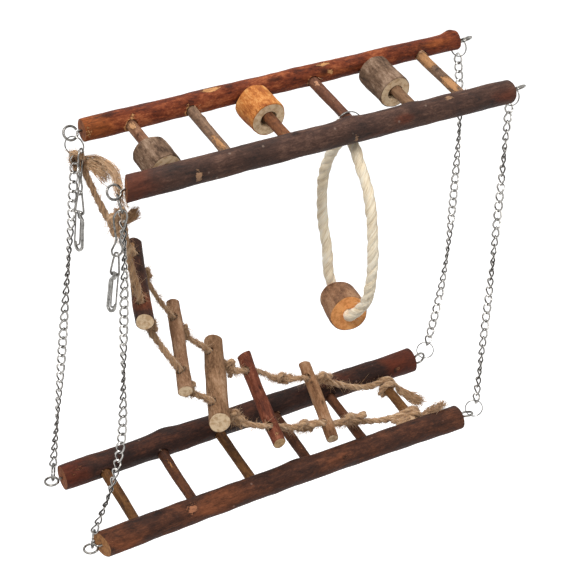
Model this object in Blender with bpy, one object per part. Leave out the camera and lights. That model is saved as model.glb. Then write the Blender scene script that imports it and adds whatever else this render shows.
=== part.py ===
"""Small pet hanging bridge.

Two ladders of round branches hang one below the other on four chains.  Loose log
rollers turn on three of the upper rungs, a sisal loop with a log bead swings from a
split ring on another, and a bridge of five log steps on two jute ropes runs from the
upper ladder's left end down to the lower ladder's right end.  Two snap clips hang on
the upper left split rings.

Frame: metres, +Z up, +X along the rails, +Y to the rear.  The origin is the middle of
the upper ladder, which hangs with its front rail a little lower than its rear rail.
"""
import math

import bmesh
import bpy
from mathutils import Matrix, Vector

MM = 0.001

# Clearances
GAP = 0.3 * MM              # between pieces that touch or fit
RING_PLAY = 0.8 * MM        # between loose wire rings and what they hang on
ROPE_PLAY = 0.6 * MM        # round a rope in a drilled hole

# Ladders
CROSS_TILT = math.radians(16.5)     # front rail lower than rear rail
RAIL_LENGTH = 290 * MM
RAIL_SPACING = 66 * MM
RAIL_ENDS = {                       # diameters at the left and the right end
    "upper_rear": (15.4 * MM, 13.0 * MM),
    "upper_front": (17.2 * MM, 16.6 * MM),
    "lower_rear": (18.0 * MM, 18.6 * MM),
    "lower_front": (18.8 * MM, 18.4 * MM),
}
RUNG_COUNT = 6
RUNG_PITCH = 45 * MM
RUNG_SHIFTS = {                     # mm along the rail, off the even spacing
    "upper": (-1.0, -2.6, -3.0, 0.0, 3.0, -2.0),
    "lower": (-3.4, -3.8, -3.0, -2.2, 0.0, 0.0),
}
RUNG_DIAMETER = 7.4 * MM
RUNG_PAST_CENTRE = 2.5 * MM         # how far a rung's hole passes the rail's centre line
LOWER_DROP = 248 * MM
LOWER_SHIFT = -43.5 * MM            # the photographed swing to the left

# Eye screws and split rings
EYE_RADIUS = 4.6 * MM               # centre line of the eye
EYE_WIRE = 1.7 * MM
EYE_STANDOFF = 8.0 * MM             # eye centre beyond the rail's end
EYE_SHANK = 10.0 * MM               # screwed into the rail
EYE_MOUTH = math.radians(26)        # half the opening of the bent eye
SPLIT_RADIUS = 6.4 * MM
SPLIT_WIRE = 1.2 * MM
CORNER_FITS = {     # degrees: eye's turn, grip round the eye to +X, ring's lean to +X, ring's turn
    "upper_rear_left": (-45, 10, 0, 45),
    "upper_front_left": (-40, 20, 12, -20),
    "upper_rear_right": (40, -45, -8, 22),
    "upper_front_right": (40, -45, -14, 22),
    "lower_rear_left": (80, 38, 5, -30),
    "lower_front_left": (80, 42, 10, -32),
    "lower_rear_right": (20, 50, 18, 56),
    "lower_front_right": (60, 58, 18, 58),
}

# Chains
CHAIN_WIRE = 1.1 * MM
CHAIN_WIDTH = 5.4 * MM
CHAIN_PITCH = 6.6 * MM
CHAIN_BOW = {                       # slack to the right at a quarter, half and three quarters down
    "rear_left": (0.4 * MM, 0.5 * MM, 0.4 * MM),
    "front_left": (6.5 * MM, 11.0 * MM, 13.5 * MM),
    "rear_right": (8.5 * MM, 10.0 * MM, 9.0 * MM),
    "front_right": (0.5 * MM, 1.0 * MM, 0.6 * MM),
}
LOG_EDGE = 1.0 * MM                 # softened edge of sawn log ends

# Log rollers: rung number from the left, middle along the rung, diameter, bore, length
ROLLERS = {
    "roller_left": (0, -12.6 * MM, 24 * MM, 11.5 * MM, 22.6 * MM),
    "roller_middle": (2, 13.2 * MM, 25 * MM, 12.5 * MM, 23.4 * MM),
    "roller_right": (4, 10.8 * MM, 24 * MM, 11.5 * MM, 28.8 * MM),
}

# Sisal loop on the fourth rung
LOOP_RUNG = 3
LOOP_PLACE = -20 * MM               # along the rung, just behind the front rail
LOOP_RING_RADIUS = 11.0 * MM
LOOP_RING_WIRE = 1.3 * MM
SISAL_DIAMETER = 7.0 * MM
BEAD_DIAMETER = 26 * MM
BEAD_LENGTH = 26 * MM
BEAD_DIP = math.radians(3)
BEAD_TURN = math.radians(13)         # its front end turned to the left
BEAD_FROM_HANG = (15.8 * MM, -145.6 * MM)   # bead's middle to the rear of and below the rung
BEAD_CLEAR = 3 * MM                 # rope runs straight this far past the bead
LOOP_FRONT = ((-7, -18), (-13.5, -29), (-21, -41), (-25.5, -57), (-26.8, -78), (-25.6, -98), (-21.5, -116),
              (-14, -132))         # hand-chosen (to the rear, up) from the rung, mm
LOOP_REAR = ((34, -128), (35, -108), (38.8, -92), (39.5, -75), (37, -57), (30.5, -42), (20.5, -28),
             (9.5, -17.5))

# Log steps of the bridge, mm and degrees: middle (its height above the lower ladder), yaw, dip to
# the front, length, diameter, spacing of the rope holes, run from the step to the knot under it
STEPS = (
    ((-128.0, 3.0, 156.4), 21.0, 20.0, 73.0, 11.0, 45.0, 1.0),
    ((-104.5, 2.0, 101.0), 21.0, 26.0, 75.0, 9.0, 45.0, 0.8),
    ((-78.8, 1.5, 65.7), 25.0, 23.0, 72.0, 13.5, 45.0, 0.8),
    ((-45.3, 0.5, 40.5), 5.0, 37.0, 72.0, 9.2, 45.0, 13.0),
    ((0.4, -0.5, 23.5), 10.0, 32.0, 64.0, 9.0, 38.0, 6.0),
)
JUTE_DIAMETER = 5.0 * MM
KNOT_DIAMETER = 9.4 * MM
KNOT_LENGTH = 7.5 * MM
TIE_PLACE = 16 * MM                 # rope ties on the last lower rung, off its middle
TIE_TURNS = 1.25
ROPE_TAIL = 24 * MM
ROPE_DIP = 0.2                      # ropes leave the steps this much steeper than the run
ROPE_INLET = 3 * MM                 # straight run above a step's hole
BEND_POINTS = 5
ROPE_STARTS = {                     # first knot of each rope from its split ring's lowest point
    "rear": (9.0 * MM, 7.0 * MM, -9.0 * MM),
    "front": (4.0 * MM, 9.0 * MM, -6.0 * MM),
}

# Snap clips
CLIP_WIRE = 1.3 * MM
CLIP_LINK_HEIGHT = 30 * MM
CLIP_LINK_TOP = 4.0 * MM            # half widths of the hourglass link, centre line
CLIP_LINK_WAIST = 1.2 * MM
CLIP_LINK_FOOT = 3.3 * MM
CLIP_ALONG_RING = {"rear": math.radians(-44), "front": math.radians(-40)}
CLIP_OFF_RING = {"rear": 0.0, "front": -0.9 * MM}
CLIP_LEAN = {                       # to the left, to the front
    "rear": (math.radians(11), math.radians(7)),
    "front": (math.radians(12), 0.0),
}
BAIL_HEIGHT = 14 * MM
BAIL_TOP = 2.3 * MM                 # half widths of the wire bail
BAIL_FOOT = 4.6 * MM
HOOK_TURN = {"rear": math.radians(55), "front": math.radians(-60)}
HOOK_HEIGHT = 28 * MM
HOOK_WIDTH = 10 * MM
HOOK_HEAD = 0.5                     # head width as a share of the hook's width
HOOK_CROWN = 2.2 * MM               # head above the bail's ends
HOOK_NECK = 5 * MM
HOOK_PLATE = 2.2 * MM
HOOK_BAR = 2.2 * MM                 # width of the flat hook's strip
HOOK_TIP = 1.5 * MM
GATE_WIRE = 1.1 * MM

# Facets
RAIL_SIDES = 14
RUNG_SIDES = 10
LOG_SIDES = 16
STEP_SIDES = 12
RING_POINTS = 16
WIRE_RESOLUTION = 1
ROPE_RESOLUTION = 2

SIDES = {"rear": 1.0, "front": -1.0}
ENDS = {"left": -1.0, "right": 1.0}
CORNERS = [(side, end) for side in SIDES for end in ENDS]
MASTER = ("rear", "left")           # the chain whose swing leads the others

UP = Vector((0, 0, 1))
TILT = Matrix.Rotation(CROSS_TILT, 3, "X")
LEVELS = {"upper": Vector((0, 0, 0)), "lower": Vector((LOWER_SHIFT, 0, -LOWER_DROP))}


def clear_scene():
    for old in list(bpy.data.objects):
        bpy.data.objects.remove(old, do_unlink=True)


def finish(name, colour, roughness, metallic=0.0):
    """One Principled material."""
    material = bpy.data.materials.new(name)
    material.use_nodes = True
    shader = material.node_tree.nodes["Principled BSDF"]
    shader.inputs["Base Color"].default_value = (*colour, 1.0)
    shader.inputs["Roughness"].default_value = roughness
    shader.inputs["Metallic"].default_value = metallic
    return material


def add_pivot(name, place, parent=None):
    """Empty at a joint or a ladder's middle."""
    pivot = bpy.data.objects.new(name, None)
    pivot.empty_display_size = 0.01
    pivot.location = place - parent.location if parent else place
    pivot.parent = parent
    bpy.context.scene.collection.objects.link(pivot)
    return pivot


def held_in(parent, point):
    """A point as its parent sees it: ladder parts are given in the ladder's own frame."""
    if parent and not parent.name.endswith("_ladder"):
        return point - parent.location
    return point


def add_object(name, data, material, parent=None):
    thing = bpy.data.objects.new(name, data)
    bpy.context.scene.collection.objects.link(thing)
    if material:
        data.materials.append(material)
    thing.parent = parent
    return thing


def add_mesh(name, solid, material, parent=None, smooth=math.radians(40)):
    """Object from a bmesh, with its faces turned outwards."""
    bmesh.ops.recalc_face_normals(solid, faces=solid.faces)
    for vertex in solid.verts:
        vertex.co = held_in(parent, vertex.co)
    mesh = bpy.data.meshes.new(name)
    solid.to_mesh(mesh)
    solid.free()
    mesh.shade_smooth()
    mesh.set_sharp_from_angle(angle=smooth)
    return add_object(name, mesh, material, parent)


def add_wire(name, points, diameter, material, parent=None, closed=False, radii=None,
             resolution=WIRE_RESOLUTION):
    """Round wire or rope: a bevelled curve through the points."""
    curve = bpy.data.curves.new(name, "CURVE")
    curve.dimensions = "3D"
    curve.bevel_depth = diameter / 2
    curve.bevel_resolution = resolution
    curve.use_fill_caps = True
    line = curve.splines.new("POLY")
    line.points.add(len(points) - 1)
    for number, point in enumerate(points):
        line.points[number].co = (*held_in(parent, point), 1.0)
        line.points[number].radius = radii[number] if radii else 1.0
    line.use_cyclic_u = closed
    line.use_smooth = True
    return add_object(name, curve, material, parent)


def lofted(sections):
    """Closed solid through rings of points, capped at both ends."""
    solid = bmesh.new()
    rings = [[solid.verts.new(point) for point in section] for section in sections]
    count = len(rings[0])
    for near, far in zip(rings, rings[1:]):
        for k in range(count):
            solid.faces.new((near[k], near[(k + 1) % count], far[(k + 1) % count], far[k]))
    solid.faces.new(rings[0][::-1])
    solid.faces.new(rings[-1])
    return solid


def round_section(centre, across, along, radius, sides):
    """Ring of points round a centre, in the plane of two unit vectors."""
    angles = [2 * math.pi * k / sides for k in range(sides)]
    return [centre + across * (radius * math.cos(a)) + along * (radius * math.sin(a)) for a in angles]


def square_axes(direction):
    """Two unit vectors square to a direction and to each other."""
    first = direction.cross(UP)
    if first.length < 0.1:
        first = direction.cross(Vector((0, 1, 0)))
    first.normalize()
    return first, direction.cross(first).normalized()


def log_between(start, end, diameters, sides, edge=0.0):
    """Round log between two points, with a diameter at each end."""
    direction = (end - start).normalized()
    across, along = square_axes(direction)
    stations = [(start, diameters[0] / 2 - edge), (start + direction * edge, diameters[0] / 2),
                (end - direction * edge, diameters[1] / 2), (end, diameters[1] / 2 - edge)]
    if not edge:
        stations = stations[::3]
    return lofted([round_section(place, across, along, radius, sides) for place, radius in stations])


def add_cutter(name, solids, parent=None):
    """Several closed shapes in one wire-drawn object that only cuts."""
    joined = bmesh.new()
    for solid in solids:
        scrap = bpy.data.meshes.new("scrap")
        bmesh.ops.recalc_face_normals(solid, faces=solid.faces)
        solid.to_mesh(scrap)
        solid.free()
        joined.from_mesh(scrap)
        bpy.data.meshes.remove(scrap)
    for vertex in joined.verts:
        vertex.co = held_in(parent, vertex.co)
    mesh = bpy.data.meshes.new(name)
    joined.to_mesh(mesh)
    joined.free()
    cutter = add_object(name, mesh, None, parent)
    cutter.hide_render = True
    cutter.display_type = "WIRE"
    return cutter


def cut(thing, cutter):
    tool = thing.modifiers.new("holes", "BOOLEAN")
    tool.operation = "DIFFERENCE"
    tool.solver = "EXACT"
    tool.object = cutter


# Places that several pieces share

def rung_x(level, number):
    return (number - (RUNG_COUNT - 1) / 2) * RUNG_PITCH + RUNG_SHIFTS[level][number] * MM


def rail_diameter(level, side, x):
    left, right = RAIL_ENDS[f"{level}_{side}"]
    return left + (right - left) * (x / RAIL_LENGTH + 0.5)


def rail_y(side):
    return SIDES[side] * RAIL_SPACING / 2


def world(level, x, y, z=0.0):
    """A point of a ladder's own frame in the object's frame."""
    return LEVELS[level] + TILT @ Vector((x, y, z))


def eye_centre(level, side, end):
    return world(level, ENDS[end] * (RAIL_LENGTH / 2 + EYE_STANDOFF), rail_y(side))


def pull_of(level):
    return -UP if level == "upper" else UP


def eye_grip(level, side, end):
    """Point of an eye's wire that its split ring pulls on."""
    turn, grip, _, _ = (math.radians(angle) for angle in CORNER_FITS[f"{level}_{side}_{end}"])
    in_eye = TILT @ (Matrix.Rotation(turn, 3, "X") @ UP)
    if in_eye.dot(pull_of(level)) < 0:
        in_eye = -in_eye
    spoke = in_eye * math.cos(grip) + Vector((1, 0, 0)) * math.sin(grip)
    return eye_centre(level, side, end) + spoke * EYE_RADIUS


def split_ring(level, side, end):
    """Middle, normal and pull direction of a split ring on its eye."""
    _, _, lean, turn = (math.radians(angle) for angle in CORNER_FITS[f"{level}_{side}_{end}"])
    sense = pull_of(level).z
    pull = Vector((math.sin(lean), 0, sense * math.cos(lean)))
    normal = Matrix.Rotation(turn, 3, "Z") @ Vector((1, 0, 0))
    normal = (normal - pull * normal.dot(pull)).normalized()
    reach = SPLIT_RADIUS - (EYE_WIRE + SPLIT_WIRE) / 2 - RING_PLAY
    return eye_grip(level, side, end) + pull * reach, normal, pull


def ring_far_point(level, side, end):
    """The wire of a split ring where its chain pulls."""
    middle, _, pull = split_ring(level, side, end)
    return middle + pull * SPLIT_RADIUS


def loop_hang():
    """Point on the fourth rung's axis where the sisal loop hangs."""
    return world("upper", rung_x("upper", LOOP_RUNG), LOOP_PLACE)


def bead_frame():
    """Middle and axis of the bead on the sisal loop."""
    rear, rise = BEAD_FROM_HANG
    level = math.cos(BEAD_DIP)
    axis = Vector((-math.sin(BEAD_TURN) * level, -math.cos(BEAD_TURN) * level, -math.sin(BEAD_DIP)))
    return loop_hang() + Vector((0, rear, rise)), axis


def step_frame(number):
    """Middle, axis to the front, length and diameter of a bridge step."""
    middle, yaw, dip, length, diameter = STEPS[number][:5]
    yaw, dip = math.radians(yaw), math.radians(dip)
    axis = Vector((-math.sin(yaw) * math.cos(dip), -math.cos(yaw) * math.cos(dip), -math.sin(dip)))
    return Vector(middle) * MM - UP * LOWER_DROP, axis, length * MM, diameter * MM


def tie_point(side):
    """Middle of a rope's tie on the last lower rung."""
    return world("lower", rung_x("lower", RUNG_COUNT - 1), SIDES[side] * TIE_PLACE)


def rope_start(side):
    return ring_far_point("upper", side, "left") + Vector(ROPE_STARTS[side])


def bridge_stops(side):
    """Where a rope crosses each step, with its direction there and the step's radius."""
    holes = []
    for number in range(len(STEPS)):
        middle, axis, _, diameter = step_frame(number)
        spacing = STEPS[number][5] * MM
        holes.append((middle - axis * (SIDES[side] * spacing / 2), axis, diameter / 2))
    places = [rope_start(side)] + [hole for hole, _, _ in holes] + [tie_point(side)]
    stops = []
    for number, (hole, axis, radius) in enumerate(holes):
        run = places[number + 2] - places[number]
        run += Vector((0, 0, -ROPE_DIP)) * run.length
        run -= axis * run.dot(axis)
        stops.append((hole, run.normalized(), radius))
    return stops


def bend(start, leaving, end, arriving, count):
    """Points strictly between two ends of a smooth curve with set directions."""
    reach = (end - start).length
    points = []
    for k in range(1, count):
        t = k / count
        points.append(start * (2 * t**3 - 3 * t**2 + 1) + leaving * (reach * (t**3 - 2 * t**2 + t))
                      + end * (3 * t**2 - 2 * t**3) + arriving * (reach * (t**3 - t**2)))
    return points


# Ladders

def build_rail(level, side, material, parent):
    name = f"{level}_{side}_rail"
    y = rail_y(side)
    half = RAIL_LENGTH / 2
    solid = log_between(Vector((-half, y, 0)), Vector((half, y, 0)), RAIL_ENDS[f"{level}_{side}"],
                        RAIL_SIDES, edge=LOG_EDGE)
    rail = add_mesh(name, solid, material, parent)
    holes = []
    inward = -SIDES[side]
    for number in range(RUNG_COUNT):
        x = rung_x(level, number)
        deep = Vector((x, y - inward * RUNG_PAST_CENTRE, 0))
        out = Vector((x, y + inward * rail_diameter(level, side, x), 0))
        bore = RUNG_DIAMETER + 2 * GAP
        holes.append(log_between(deep, out, (bore, bore), RUNG_SIDES))
    for outward in ENDS.values():
        deep = Vector((outward * (half - EYE_SHANK - GAP), y, 0))
        out = Vector((outward * (half + EYE_STANDOFF), y, 0))
        bore = EYE_WIRE + 2 * GAP
        holes.append(log_between(deep, out, (bore, bore), 8))
    cut(rail, add_cutter(f"{name}_holes", holes, parent))


def build_rung(level, number, material, parent):
    x = rung_x(level, number)
    reach = RAIL_SPACING / 2 + RUNG_PAST_CENTRE - GAP
    solid = log_between(Vector((x, reach, 0)), Vector((x, -reach, 0)), (RUNG_DIAMETER, RUNG_DIAMETER),
                        RUNG_SIDES)
    add_mesh(f"{level}_rung_{number + 1}", solid, material, parent)


def build_eye(level, side, end, material, parent):
    """Bent-wire eye screw: shank in the rail's end grain, then most of a circle."""
    outward = ENDS[end]
    centre = Vector((outward * (RAIL_LENGTH / 2 + EYE_STANDOFF), rail_y(side), 0))
    turn = Matrix.Rotation(math.radians(CORNER_FITS[f"{level}_{side}_{end}"][0]), 3, "X")
    points = [Vector((-EYE_STANDOFF - EYE_SHANK, 0, 0)), Vector((-EYE_RADIUS - EYE_WIRE, 0, 0))]
    sweep = 2 * (math.pi - EYE_MOUTH)
    for k in range(RING_POINTS):
        angle = math.pi + EYE_MOUTH / 4 + sweep * k / (RING_POINTS - 1)
        points.append(Vector((math.cos(angle), 0, math.sin(angle))) * EYE_RADIUS)
    placed = [centre + turn @ Vector((outward * point.x, point.y, point.z)) for point in points]
    add_wire(f"{level}_{side}_{end}_eye", placed, EYE_WIRE, material, parent)


def build_split_ring(level, side, end, material, parent):
    middle, normal, pull = split_ring(level, side, end)
    points = round_section(middle, normal.cross(pull), pull, SPLIT_RADIUS, RING_POINTS)
    add_wire(f"{level}_{side}_{end}_ring", points, SPLIT_WIRE, material, parent, closed=True)


# Chains

def chain_places(side, end):
    """Knuckles of a chain from the upper to the lower split ring.

    Its slack is the sum of three sine arches that meets the three named bows.
    """
    inside = SPLIT_RADIUS - SPLIT_WIRE / 2 - GAP - CHAIN_WIRE / 2
    top, _, down = split_ring("upper", side, end)
    foot, _, up = split_ring("lower", side, end)
    start = top + down * inside
    run = foot + up * inside - start
    count = round(run.length / CHAIN_PITCH)
    along = run.normalized()
    right = Vector((1, 0, 0)) - along * along.x
    right.normalize()
    quarter, half, three_quarters = CHAIN_BOW[f"{side}_{end}"]
    both = (quarter + three_quarters) / math.sqrt(2)
    arches = ((both + half) / 2, (quarter - three_quarters) / 2, (both - half) / 2)
    places = []
    for k in range(count + 1):
        t = k / count
        bow = sum(arch * math.sin(n * math.pi * t) for n, arch in enumerate(arches, 1))
        places.append(start + run * t + right * bow)
    return places, along


def build_chain(side, end, material, parent):
    """Links fused at square knuckles: two bent sides each, every link square to the next."""
    places, along = chain_places(side, end)
    count = len(places) - 1
    first = split_ring("upper", side, end)[1]
    last = split_ring("lower", side, end)[1]
    first = (first - along * first.dot(along)).normalized()
    last = (last - along * last.dot(along)).normalized()
    total = math.atan2(first.cross(last).dot(along), first.dot(last)) - (count - 1) * math.pi / 2
    twist = ((total + math.pi / 2) % math.pi - math.pi / 2) / (count - 1)
    half = CHAIN_WIRE / 2
    wide = CHAIN_WIDTH / 2 - half
    solid = bmesh.new()
    knuckles = []
    for k, place in enumerate(places):
        turn = Matrix.Rotation(k * (math.pi / 2 + twist) - twist / 2, 3, along)
        a = turn @ first
        b = along.cross(a)
        corners = {}
        for st in (1, -1):
            for sa in (1, -1):
                for sb in (1, -1):
                    point = place + along * (st * half) + a * (sa * half) + b * (sb * half)
                    corners[st, sa, sb] = solid.verts.new(point)
        knuckles.append(corners)
        for st in (1, -1):
            solid.faces.new([corners[st, sa, sb] for sa, sb in ((1, 1), (1, -1), (-1, -1), (-1, 1))])
        for s in (1, -1):
            if k == 0:
                solid.faces.new([corners[st, sa, s] for st, sa in ((1, 1), (1, -1), (-1, -1), (-1, 1))])
            if k == count:
                solid.faces.new([corners[st, s, sb] for st, sb in ((1, 1), (1, -1), (-1, -1), (-1, 1))])
    for k in range(count):
        u = Matrix.Rotation(k * (math.pi / 2 + twist), 3, along) @ first
        v = along.cross(u)
        shares = (0.25, 0.75) if k in (0, count - 1) else (0.5,)
        near, far = knuckles[k], knuckles[k + 1]
        for s in (1, -1):
            rings = [[near[1, s, -1], near[1, s, 1], near[-1, s, 1], near[-1, s, -1]]]
            for share in shares:
                middle = places[k].lerp(places[k + 1], share) + u * (s * wide)
                corners = ((-1, -1), (-1, 1), (1, 1), (1, -1))
                rings.append([solid.verts.new(middle + u * (s * out * half) + v * (rise * half))
                              for out, rise in corners])
            rings.append([far[-1, -1, -s], far[-1, 1, -s], far[1, 1, -s], far[1, -1, -s]])
            for one, two in zip(rings, rings[1:]):
                for c in range(4):
                    solid.faces.new((one[c], one[(c + 1) % 4], two[(c + 1) % 4], two[c]))
    add_mesh(f"chain_{side}_{end}", solid, material, parent)


# Rollers and sisal loop

def tube(centre, axis, outer, inner, length, edge, sides):
    """Log with a bore through it and softened outer edges."""
    across, along = square_axes(axis)
    half = length / 2
    stations = [(-half, inner), (half, inner), (half, outer - edge), (half - edge, outer),
                (edge - half, outer), (-half, outer - edge)]
    solid = bmesh.new()
    rings = []
    for place, radius in stations:
        section = round_section(centre + axis * place, across, along, radius, sides)
        rings.append([solid.verts.new(point) for point in section])
    for near, far in zip(rings, rings[1:] + rings[:1]):
        for k in range(sides):
            solid.faces.new((near[k], near[(k + 1) % sides], far[(k + 1) % sides], far[k]))
    return solid


def roller_centre(name):
    """A roller hangs on its rung by the top of its bore."""
    number, place, _, bore, _ = ROLLERS[name]
    drop = bore / 2 - RUNG_DIAMETER / 2 - GAP
    return world("upper", rung_x("upper", number), place, -drop)


def build_roller(name, material):
    _, _, diameter, bore, length = ROLLERS[name]
    axis = TILT @ Vector((0, 1, 0))
    centre = roller_centre(name)
    solid = tube(centre, axis, diameter / 2, bore / 2, length, LOG_EDGE, LOG_SIDES)
    add_mesh(name, solid, material, add_pivot(f"{name}_pivot", centre))


def loop_ring_middle():
    rise = RUNG_DIAMETER / 2 + LOOP_RING_WIRE / 2 + GAP
    return loop_hang() + UP * (rise - LOOP_RING_RADIUS)


def loop_points():
    """Closed route of the sisal rope: over the ring, down the front, through the bead, up the rear."""
    lift = LOOP_RING_RADIUS - LOOP_RING_WIRE / 2 - GAP - SISAL_DIAMETER / 2
    top = loop_ring_middle() - UP * lift
    middle, axis = bead_frame()
    reach = axis * (BEAD_LENGTH / 2 + BEAD_CLEAR)
    front = [loop_hang() + Vector((0, rear * MM, up * MM)) for rear, up in LOOP_FRONT]
    rear = [loop_hang() + Vector((0, rear * MM, up * MM)) for rear, up in LOOP_REAR]
    route = [top] + front + [middle + reach, middle - reach] + rear
    straight = len(front) + 1
    points = []
    total = len(route)
    for k in range(total):
        a, b, c, d = (route[(k + n) % total] for n in (-1, 0, 1, 2))
        points.append(b)
        if k != straight:
            points.append((b + c) * 0.5625 - (a + d) * 0.0625)
    return points


def build_sisal(steel, rope, wood):
    hang = add_pivot("loop_pivot", loop_hang())
    ring = round_section(loop_ring_middle(), Vector((1, 0, 0)), UP, LOOP_RING_RADIUS, RING_POINTS)
    add_wire("loop_ring", ring, LOOP_RING_WIRE, steel, hang, closed=True)
    add_wire("sisal_loop", loop_points(), SISAL_DIAMETER, rope, hang, closed=True,
             resolution=ROPE_RESOLUTION)
    middle, axis = bead_frame()
    solid = tube(middle, axis, BEAD_DIAMETER / 2, SISAL_DIAMETER / 2 + ROPE_PLAY, BEAD_LENGTH, LOG_EDGE,
                 LOG_SIDES)
    add_mesh("bead", solid, wood, add_pivot("bead_pivot", middle))


# Rope bridge

def step_pivot(number):
    """A step turns with the stretch of rope above it, about the step or ring before."""
    if number:
        return step_frame(number - 1)[0]
    return (ring_far_point("upper", "rear", "left") + ring_far_point("upper", "front", "left")) / 2


def build_step(number, material):
    middle, axis, length, diameter = step_frame(number)
    pivot = add_pivot(f"step_{number + 1}_pivot", step_pivot(number))
    half = axis * (length / 2)
    solid = log_between(middle - half, middle + half, (diameter, diameter), STEP_SIDES, edge=LOG_EDGE)
    step = add_mesh(f"step_{number + 1}", solid, material, pivot)
    bore = JUTE_DIAMETER + 2 * ROPE_PLAY
    holes = []
    for side in SIDES:
        hole, run, radius = bridge_stops(side)[number]
        holes.append(log_between(hole - run * (2 * radius), hole + run * (2 * radius), (bore, bore), 12))
    cut(step, add_cutter(f"step_{number + 1}_holes", holes, pivot))


def build_rope(side, material):
    """Jute rope: knot at the split ring, through every step with a knot under it, tie and tail."""
    thick = KNOT_DIAMETER / JUTE_DIAMETER
    start = rope_start(side)
    stops = bridge_stops(side)
    leaving = (stops[0][0] - start).normalized()
    route = [(start, 1.0), (start + leaving * (0.3 * KNOT_LENGTH), thick),
             (start + leaving * (1.1 * KNOT_LENGTH), thick), (start + leaving * (1.7 * KNOT_LENGTH), 1.0)]
    for (hole, run, radius), step in zip(stops, STEPS):
        inlet = hole - run * (radius + ROPE_INLET)
        route += [(point, 1.0) for point in bend(route[-1][0], leaving, inlet, run, BEND_POINTS)]
        knot = hole + run * (radius + step[6] * MM)
        route += [(inlet, 1.0), (knot, 1.0), (knot + run * (0.3 * KNOT_LENGTH), thick),
                  (knot + run * KNOT_LENGTH, thick), (knot + run * (1.4 * KNOT_LENGTH), 1.0)]
        leaving = run
    axis = (TILT @ Vector((0, 1, 0)))
    out = Vector((1, 0, 0))
    rise = out.cross(axis).normalized()
    reach = (RUNG_DIAMETER + JUTE_DIAMETER) / 2 + ROPE_PLAY
    turns = []
    steps = round(TIE_TURNS * 8)
    shift = axis * (-SIDES[side] * (JUTE_DIAMETER + ROPE_PLAY))
    for k in range(steps + 1):
        angle = math.radians(115) - 2 * math.pi * k / 8
        centre = tie_point(side) + shift * (k / 8 - 0.5)
        turns.append(centre + (out * math.cos(angle) + rise * math.sin(angle)) * reach)
    arriving = (out * math.sin(math.radians(115)) - rise * math.cos(math.radians(115))).normalized()
    route += [(point, 1.0) for point in bend(route[-1][0], leaving, turns[0], arriving, BEND_POINTS)]
    route += [(point, 1.0) for point in turns]
    last = (turns[-1] - turns[-2]).normalized()
    tail = turns[-1] + (last * 0.35 + out * 0.65) * ROPE_TAIL
    route += [(point, 1.0) for point in bend(turns[-1], last, tail, out, 3)] + [(tail, 1.0)]
    points = [point for point, _ in route]
    radii = [radius for _, radius in route]
    add_wire(f"rope_{side}", points, JUTE_DIAMETER, material, None, radii=radii,
             resolution=ROPE_RESOLUTION)


# Snap clips

def clip_frame(side):
    """Top of the hourglass link, its sideways and down directions, and the wire it hangs on."""
    middle, normal, pull = split_ring("upper", side, "left")
    along = CLIP_ALONG_RING[side]
    wire = middle + (pull * math.cos(along) + normal.cross(pull) * math.sin(along)) * SPLIT_RADIUS
    clear = SPLIT_WIRE / 2 / math.cos(along) + CLIP_WIRE / 2 * (1 + abs(math.tan(along))) + RING_PLAY
    left, front = CLIP_LEAN[side]
    lean = Matrix.Rotation(left, 3, "Y") @ Matrix.Rotation(-front, 3, "X")
    return wire + UP * clear + normal * CLIP_OFF_RING[side], lean @ normal, lean @ -UP, wire


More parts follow.
